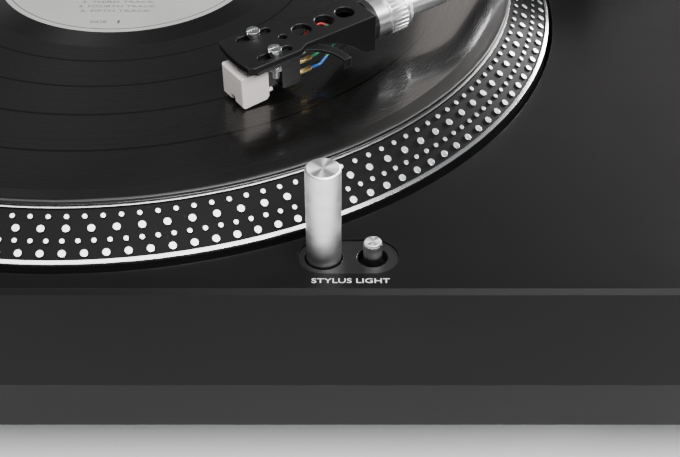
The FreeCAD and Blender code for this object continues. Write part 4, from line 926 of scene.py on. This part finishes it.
@dataclass
class Platter:
    """The platter with its raised strobe dots, the mat, the record, its label and the spindle."""

    shop: Workshop
    slope: float = 0.5623
    first_radius: float = 163.0
    first_height: float = 93.8
    sunk: float = 0.95
    sides: int = 20
    label_top: float = 102.9
    rows: tuple = ((153.10, 180, 0.79, -0.0466), (156.40, 133, 1.17, -0.0708),
                   (159.80, 216, 0.79, -0.0401), (163.2, 160, 1.17, -0.0588))

    def build(self) -> None:
        """Dresses the platter and what turns with it, and adds the dots and the label's print."""
        self.shop.dress_all(
            ("platter", MachinedPlatter(), 0.12),
            ("rubber_mat", MAT_RUBBER, 0.1),
            ("record", Vinyl(), 0.0),
            ("record_label", LabelPaper(), 0.0),
            ("spindle", POLISHED, 0.2),
            ("rotor_magnet", MAGNET, 0.2),
            ("bearing_housing", BRASS, 0.2),
            ("stator_core", STEEL, 0.1),
            ("stator_coils", Winding(), 0.2))
        self.dots()
        self.label_print()

    def dots(self) -> None:
        """Adds the four rows of raised dots, bright on top and black round the side."""
        tilt = math.atan(self.slope)
        points: list = []
        faces: list = []
        finish: list = []
        for radius, count, size, phase in self.rows:
            rise = self.first_height + (self.first_radius - radius) * self.slope
            rings = ((size * 1.04, -self.sunk), (size, -0.10), (size - 0.03, -0.02), (size - 0.10, 0.0))
            for k in range(count):
                angle = phase + 2 * math.pi * k / count
                out = Vector((math.sin(angle), -math.cos(angle), 0.0))
                side = Vector((math.cos(angle), math.sin(angle), 0.0))
                normal = out * math.sin(tilt) + Vector((0.0, 0.0, math.cos(tilt)))
                down = side.cross(normal)
                middle = Vector(PLATTER_CENTRE) + (out * radius + Vector((0, 0, rise))) * MM
                first = len(points)
                for r, z in rings:
                    for i in range(self.sides):
                        turn = 2 * math.pi * i / self.sides
                        away = side * math.cos(turn) + down * math.sin(turn)
                        points.append(middle + (away * r + normal * z) * MM)
                for ring in range(len(rings) - 1):
                    for i in range(self.sides):
                        a, b = first + ring * self.sides, (i + 1) % self.sides
                        faces.append((a + b, a + i, a + self.sides + i, a + self.sides + b))
                        finish.append(0 if ring else 1)
                top = first + (len(rings) - 1) * self.sides
                faces.append([top + self.sides - 1 - i for i in range(self.sides)])
                finish.append(0)
                faces.append([first + i for i in range(self.sides)])
                finish.append(1)
        mesh = mesh_of("strobe_dots", points, faces)
        bright = Metal("dot_faces", (0.86, 0.86, 0.86), 0.3, Lay.ROUND, PLATTER_CENTRE, 0.002, 0.06)
        dark = Paint("dot_sides", MachinedPlatter.black, 0.4, wear=0.0)
        self.shop.piece("strobe_dots", mesh, "turning_platter", "platter_metal", bright, dark)
        mesh.polygons.foreach_set("material_index", finish)
        mesh.update()

    def label_print(self) -> None:
        """Prints the label: its side, its speed, a rule and a ring."""
        label = level(PLATTER_CENTRE[0] / MM, PLATTER_CENTRE[1] / MM, self.label_top)
        lines = [Words("SIDE", -5.0, -42.4, 6.2, 1.8), Words("1", 2.4, -42.4, 0.9, 2.3),
                 Words("33 1/3 RPM", -24, -8, 17, 2.2), Words("STEREO", 25, -8, 14, 2.2),
                 Words("LONG PLAYING RECORD", 0, 26, 50, 3.4), Words("1. FIRST TRACK", 0, -20, 26, 1.6),
                 Words("2. SECOND TRACK", 0, -23.5, 30, 1.6), Words("3. THIRD TRACK", 0, -27, 27, 1.6),
                 Words("4. FOURTH TRACK", 0, -30.5, 29, 1.6), Words("5. FIFTH TRACK", 0, -34, 26, 1.6)]
        meshes = [lettered(line, label) for line in lines]
        meshes.append(band_ring(48.0, 47.6, label, 128, PRINT_HEIGHT))
        meshes.append(bars([(0, 20.5, 56, 0.35)], label))
        printed = joined("label_print", meshes)
        self.shop.piece("label_print", printed, "turning_platter", "label_paper", DARK_PRINT)


@dataclass
class StylusLamp:
    """The pop-up lamp beside the platter, its button, bezel and spring."""

    shop: Workshop
    pillar: tuple = (0.0351, -0.1614, 0.0)
    button: tuple = (0.0494, -0.1614, 0.0)
    coil_radius: float = 3.5
    wire_radius: float = 0.45
    coil_foot: float = 35.6
    coil_length: float = 51.8
    coil_turns: float = 9.25
    travel: float = 31.0

    def build(self) -> None:
        """Dresses the lamp."""
        bright = (0.74, 0.74, 0.74)
        turned = Metal("lamp_pillar_metal", bright, 0.4, Lay.ROUND, self.pillar, 0.0012, 0.1, 0.9)
        small = Metal("lamp_button_metal", bright, 0.4, Lay.ROUND, self.button, 0.0012, 0.1, 0.9)
        bezel = Paint("bezel_black", (0.0050, 0.0050, 0.0052), 0.4, worn=(0.08, 0.08, 0.08), wear=0.5,
                      dust=0.05, specular=0.3)
        self.shop.dress_all(("lamp_pillar", turned, 0.25), ("lamp_button", small, 0.15),
                            ("lamp_bezel", bezel, 0.3))
        self.spring()

    def spring(self) -> None:
        """Winds the spring in the lamp's bore."""
        steps, sides = round(self.coil_turns * 24), 8
        points: list = []
        faces: list = []
        for step in range(steps + 1):
            share = step / steps
            angle = share * self.coil_turns * 2 * math.pi
            out = Vector((math.cos(angle), math.sin(angle), 0.0))
            middle = out * self.coil_radius + Vector((0.0, 0.0, self.coil_foot + share * self.coil_length))
            for i in range(sides):
                turn = 2 * math.pi * i / sides
                around = out * math.cos(turn) + Vector((0.0, 0.0, math.sin(turn)))
                points.append(Vector(self.pillar) + (middle + around * self.wire_radius) * MM)
        for step in range(steps):
            for i in range(sides):
                a, b = step * sides + i, step * sides + (i + 1) % sides
                faces.append((a, b, b + sides, a + sides))
        faces.append(tuple(range(sides - 1, -1, -1)))
        faces.append(tuple(range(steps * sides, (steps + 1) * sides)))
        coil = self.shop.piece("lamp_coil", mesh_of("lamp_coil", points, faces), "plinth", "steel", STEEL)
        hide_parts("lamp_spring")
        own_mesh(coil)


@dataclass
class Controls:
    """The start key, the speed keys, the power knob with its strobe tower, and the pitch slider."""

    shop: Workshop
    knob: tuple = (-0.204, -0.095, 0.0)
    slider: tuple = (197.0, -84.0)
    plate_top: float = 90.8
    grip_top: float = 98.6
    travel: float = 50.0

    def build(self) -> None:
        """Dresses the controls and prints the pitch scale."""
        tower = Paint("tower_black", (0.013, 0.013, 0.0135), 0.3, wear=0.5)
        knob = Metal("knob_metal", (0.6, 0.6, 0.61), 0.26, Lay.ROUND, self.knob, 0.006, 0.14, 0.6)
        self.shop.dress_all(
            ("start_button", BUTTON_METAL, 0.3),
            ("speed_button_33", BUTTON_METAL, 0.2),
            ("speed_button_45", BUTTON_METAL, 0.2),
            ("speed_button_78", BUTTON_METAL, 0.2),
            ("strobe_tower", tower, 0.3),
            ("strobe_window", LitLens(), 0.1),
            ("power_knob", knob, 0.3),
            ("slider_plate", BRUSHED_TRIM, 0.2),
            ("slider_knob", TRIM_BLACK, 0.2),
            ("slider_pot", STEEL, 0.3))
        self.pitch_scale()

    def pitch_scale(self) -> None:
        """Prints the marks and numbers beside the slider, and the line on its grip."""
        x, y = self.slider
        plate = level(x, y, self.plate_top)
        marks = []
        for step in range(-8, 9):
            long = 3.6 if step % 4 == 0 else (2.6 if step % 2 == 0 else 1.7)
            marks.append((4.6 + long / 2, step * self.travel / 8, long, 0.3))
        meshes = [bars(marks, plate)]
        for step in (-8, -4, 0, 4, 8):
            words = f"{abs(step)}"
            meshes.append(lettered(Words(words, -7.6, step * self.travel / 8, 1.5, 2.3), plate))
        meshes.append(lettered(Words("+", -7.6, 57.5, 2.0, 2.0), plate))
        meshes.append(bars([(-7.6, -57.5, 2.0, 0.4)], plate))
        self.shop.piece("pitch_scale", joined("pitch_scale", meshes), "plinth", "label_paper", WHITE_PRINT)
        grip = bars([(0.0, 0.0, 14.0, 0.55)], level(x, y, self.grip_top))
        self.shop.piece("slider_line", grip, "pitch_knob", "label_paper", WHITE_PRINT)


@dataclass
class Tonearm:
    """The arm's stand and lift, its gimbal, its tube and weights, and the headshell with its cartridge."""

    shop: Workshop
    dial: tuple = (192.6, 88.5, 112.6)
    number_radius: float = 6.6

    def build(self) -> None:
        """Dresses the arm from its stand to its stylus."""
        self.shop.dress_all(
            ("arm_socket", SATIN, 0.3),
            ("height_ring", SATIN, 0.15),
            ("arm_plate", ARM_CASTING, 0.4),
            ("arm_rest", TRIM_BLACK, 0.3),
            ("arm_clip", TRIM_BLACK, 0.15),
            ("cue_lever", SATIN, 0.15),
            ("lift_bar", RUBBER, 0.3),
            ("anti_skate_dial", SATIN, 0.15),
            ("gimbal_yoke", SATIN, 0.3),
            ("pivot_screws", STEEL, 0.1),
            ("arm_tube", ARM_SILVER, 0.0),
            ("arm_stub", SATIN, 0.2),
            ("counterweight", WEIGHT, 0.25),
            ("force_ring", TRIM_BLACK, 0.2),
            ("lock_collar", ARM_SILVER, 0.15))
        self.head()
        self.marks()

    def head(self) -> None:
        """Dresses the headshell and the cartridge."""
        self.shop.dress_all(
            ("headshell", HEADSHELL, 0.15),
            ("headshell_plug", TRIM_BLACK, 0.15),
            ("finger_lift", HEADSHELL, 0.1),
            ("cartridge_body", CARTRIDGE, 0.12),
            ("stylus_block", STYLUS_GREY, 0.12),
            ("cantilever", ARM_SILVER, 0.0),
            ("cartridge_screws", STEEL, 0.1),
            ("cartridge_nuts", STEEL, 0.1),
            ("cartridge_leads", LeadSet(), 0.0))

    def marks(self) -> None:
        """Prints the numbers on the anti-skating dial."""
        dial = level(*self.dial)
        meshes = []
        for step in range(8):
            angle = math.radians(90 - 45 * step)
            x, y = self.number_radius * math.cos(angle), self.number_radius * math.sin(angle)
            meshes.append(lettered(Words(str(step), x, y, 1.1, 1.7, math.degrees(angle) - 90), dial))
        self.shop.piece("dial_numbers", joined("dial_numbers", meshes), "dial", "trim_black", DARK_PRINT)


@dataclass
class BackPanel:
    """The recessed panel at the back with its sockets and ground terminal."""

    shop: Workshop
    middle: float = 59.3
    face: float = 172.0

    def build(self) -> None:
        """Dresses the panel, rings the sockets in colour and prints their labels."""
        self.shop.dress_all(
            ("rear_panel", TRIM_BLACK, 0.15),
            ("phono_sockets", GOLD, 0.1),
            ("ground_post", GOLD, 0.1),
            ("ground_nut", GOLD, 0.1),
            ("power_socket", TRIM_BLACK, 0.15))
        back = Matrix.Rotation(math.pi, 4, "Z") @ Matrix.Rotation(math.radians(90), 4, "X")
        panel = Matrix.Translation((0.0, self.face * MM, self.middle * MM)) @ back
        lines = [Words("L", 162.0, 4.4, 1.2, 1.8), Words("R", 146.0, 4.4, 1.4, 1.8),
                 Words("GND", 129.0, 0.0, 5.4, 2.0), Words("AC IN", 100.0, 0.0, 9.0, 2.2),
                 Words("PHONO", 113.5, 0.0, 9.5, 2.0)]
        printed = joined("back_labels", [lettered(line, panel) for line in lines])
        self.shop.piece("back_labels", printed, "plinth", "label_paper", WHITE_PRINT)
        for name, x, finish in (("left_socket_ring", 170.0, WHITE_PLASTIC),
                                ("right_socket_ring", 154.0, RED_PLASTIC)):
            ring = band_ring(6.0, 4.75, panel @ level(x, 0, 0), 48, 0.5 * MM)
            self.shop.piece(name, ring, "plinth", "trim_black", finish)


# ---------------------------------------------------------------- studio


@dataclass
class Studio:
    """The pale table, the lights and the camera."""

    lens: float = 59.594
    tilt: float = 50.923
    place: tuple = (0.03983, -0.41308, 0.30476)
    table_size: float = 6.0

    def build(self) -> None:
        """Sets up the table, the lights and the camera."""
        self.table()
        self.world()
        self.softbox("overhead", (-0.05, -0.25, 1.5), (0.0, -0.1, 0.09), 1.6, 1.2, 30.0)
        self.softbox("side_right", (1.5, 1.25, 0.55), (0.1, 0.0, 0.1), 0.7, 0.5, 60.0)
        self.softbox("front_key", (0.75, -1.05, 1.5), (0.0, -0.17, 0.05), 1.8, 0.75, 75.0)
        self.softbox("left_fill", (-1.3, -0.75, 0.7), (0.0, -0.1, 0.1), 0.6, 0.6, 4.0)
        self.softbox("back_right", (0.58, 1.1, 0.85), (0.08, -0.09, 0.1), 0.9, 0.5, 2.8, (1.0, 0.93, 0.88))
        self.camera()

    def table(self) -> None:
        """Makes the pale table top, which glows more the farther it lies from the player: a painted glow that
        lights the player like a lamp.
        """
        half = self.table_size / 2
        corners = [(-half, -half, 0), (half, -half, 0), (half, half, 0), (-half, half, 0)]
        mesh = mesh_of("table", corners, [(0, 1, 2, 3)])
        table = bpy.data.objects.new("table", mesh)
        bpy.context.scene.collection.objects.link(table)
        material, graph, surface = shaded("pale_table_with_painted_glow")
        shade = graph.between(graph.noise(graph.place(), 3.0, 3.0), 0.3, 0.7)
        graph.feed(surface.inputs["Base Color"], graph.mix(shade, (0.86, 0.86, 0.86), (0.9, 0.9, 0.9)))
        graph.feed(surface.inputs["Roughness"], graph.between(shade, 0.0, 1.0, 0.5, 0.6))
        # painted glow: the table glows from 1.2 m out, lighting the player and showing in its faces like a lamp
        away = graph.vector("LENGTH", graph.place()).outputs["Value"]
        graph.feed(surface.inputs["Emission Strength"], graph.between(away, 1.2, 2.6, 0.0, 0.85))
        surface.inputs["Emission Color"].default_value = (1.0, 1.0, 1.0, 1.0)
        mesh.materials.append(material)
        LOG.info("made the table")

    def world(self) -> None:
        """Makes a pale room that gives the pieces less light than the eye sees in it."""
        world = bpy.data.worlds.new("room")
        bpy.context.scene.world = world
        world.use_nodes = True
        world.node_tree.nodes.clear()
        graph = Graph(world.node_tree)
        seen = graph.add("LightPath").outputs["Is Camera Ray"]
        dim = graph.add("Background", None, Color=(0.9, 0.95, 1.0), Strength=0.15)
        pale = graph.add("Background", None, Color=(1.0, 1.0, 1.0), Strength=2.2)
        mixed = graph.add("MixShader", None, Fac=seen)
        graph.feed(mixed.inputs[1], dim.outputs[0])
        graph.feed(mixed.inputs[2], pale.outputs[0])
        graph.feed(graph.add("OutputWorld").inputs["Surface"], mixed.outputs[0])

    def softbox(self, name: str, place: tuple, aim: tuple, width: float, height: float, power: float,
                tint: Colour = (1.0, 1.0, 1.0)) -> None:
        """Adds a soft light.

        Args:
            name: its name.
            place: where it stands.
            aim: what it points at.
            width: its width.
            height: its height.
            power: its power in watts.
            tint: its colour.
        """
        light = bpy.data.lights.new(name, "AREA")
        light.shape = "RECTANGLE"
        light.size = width
        light.size_y = height
        light.energy = power
        light.color = tint
        lamp = bpy.data.objects.new(name, light)
        bpy.context.scene.collection.objects.link(lamp)
        lamp.location = place
        lamp.rotation_euler = (Vector(aim) - Vector(place)).to_track_quat("-Z", "Y").to_euler()

    def camera(self) -> None:
        """Adds the camera."""
        lens = bpy.data.cameras.new("camera")
        lens.lens = self.lens
        lens.sensor_width = 36.0
        lens.clip_start = 0.01
        camera = bpy.data.objects.new("camera", lens)
        bpy.context.scene.collection.objects.link(camera)
        camera.location = self.place
        camera.rotation_euler = (math.radians(self.tilt), 0.0, 0.0)
        bpy.context.scene.camera = camera


def main() -> None:
    """Builds every sub-assembly in order, then the studio."""
    logging.basicConfig(level=logging.INFO, format="%(message)s")
    shop = Workshop()
    for part in (Plinth, Platter, StylusLamp, Controls, Tonearm, BackPanel):
        part(shop).build()
        LOG.info("finished the %s", part.__name__)
    Studio().build()


if __name__ == "__main__":
    main()
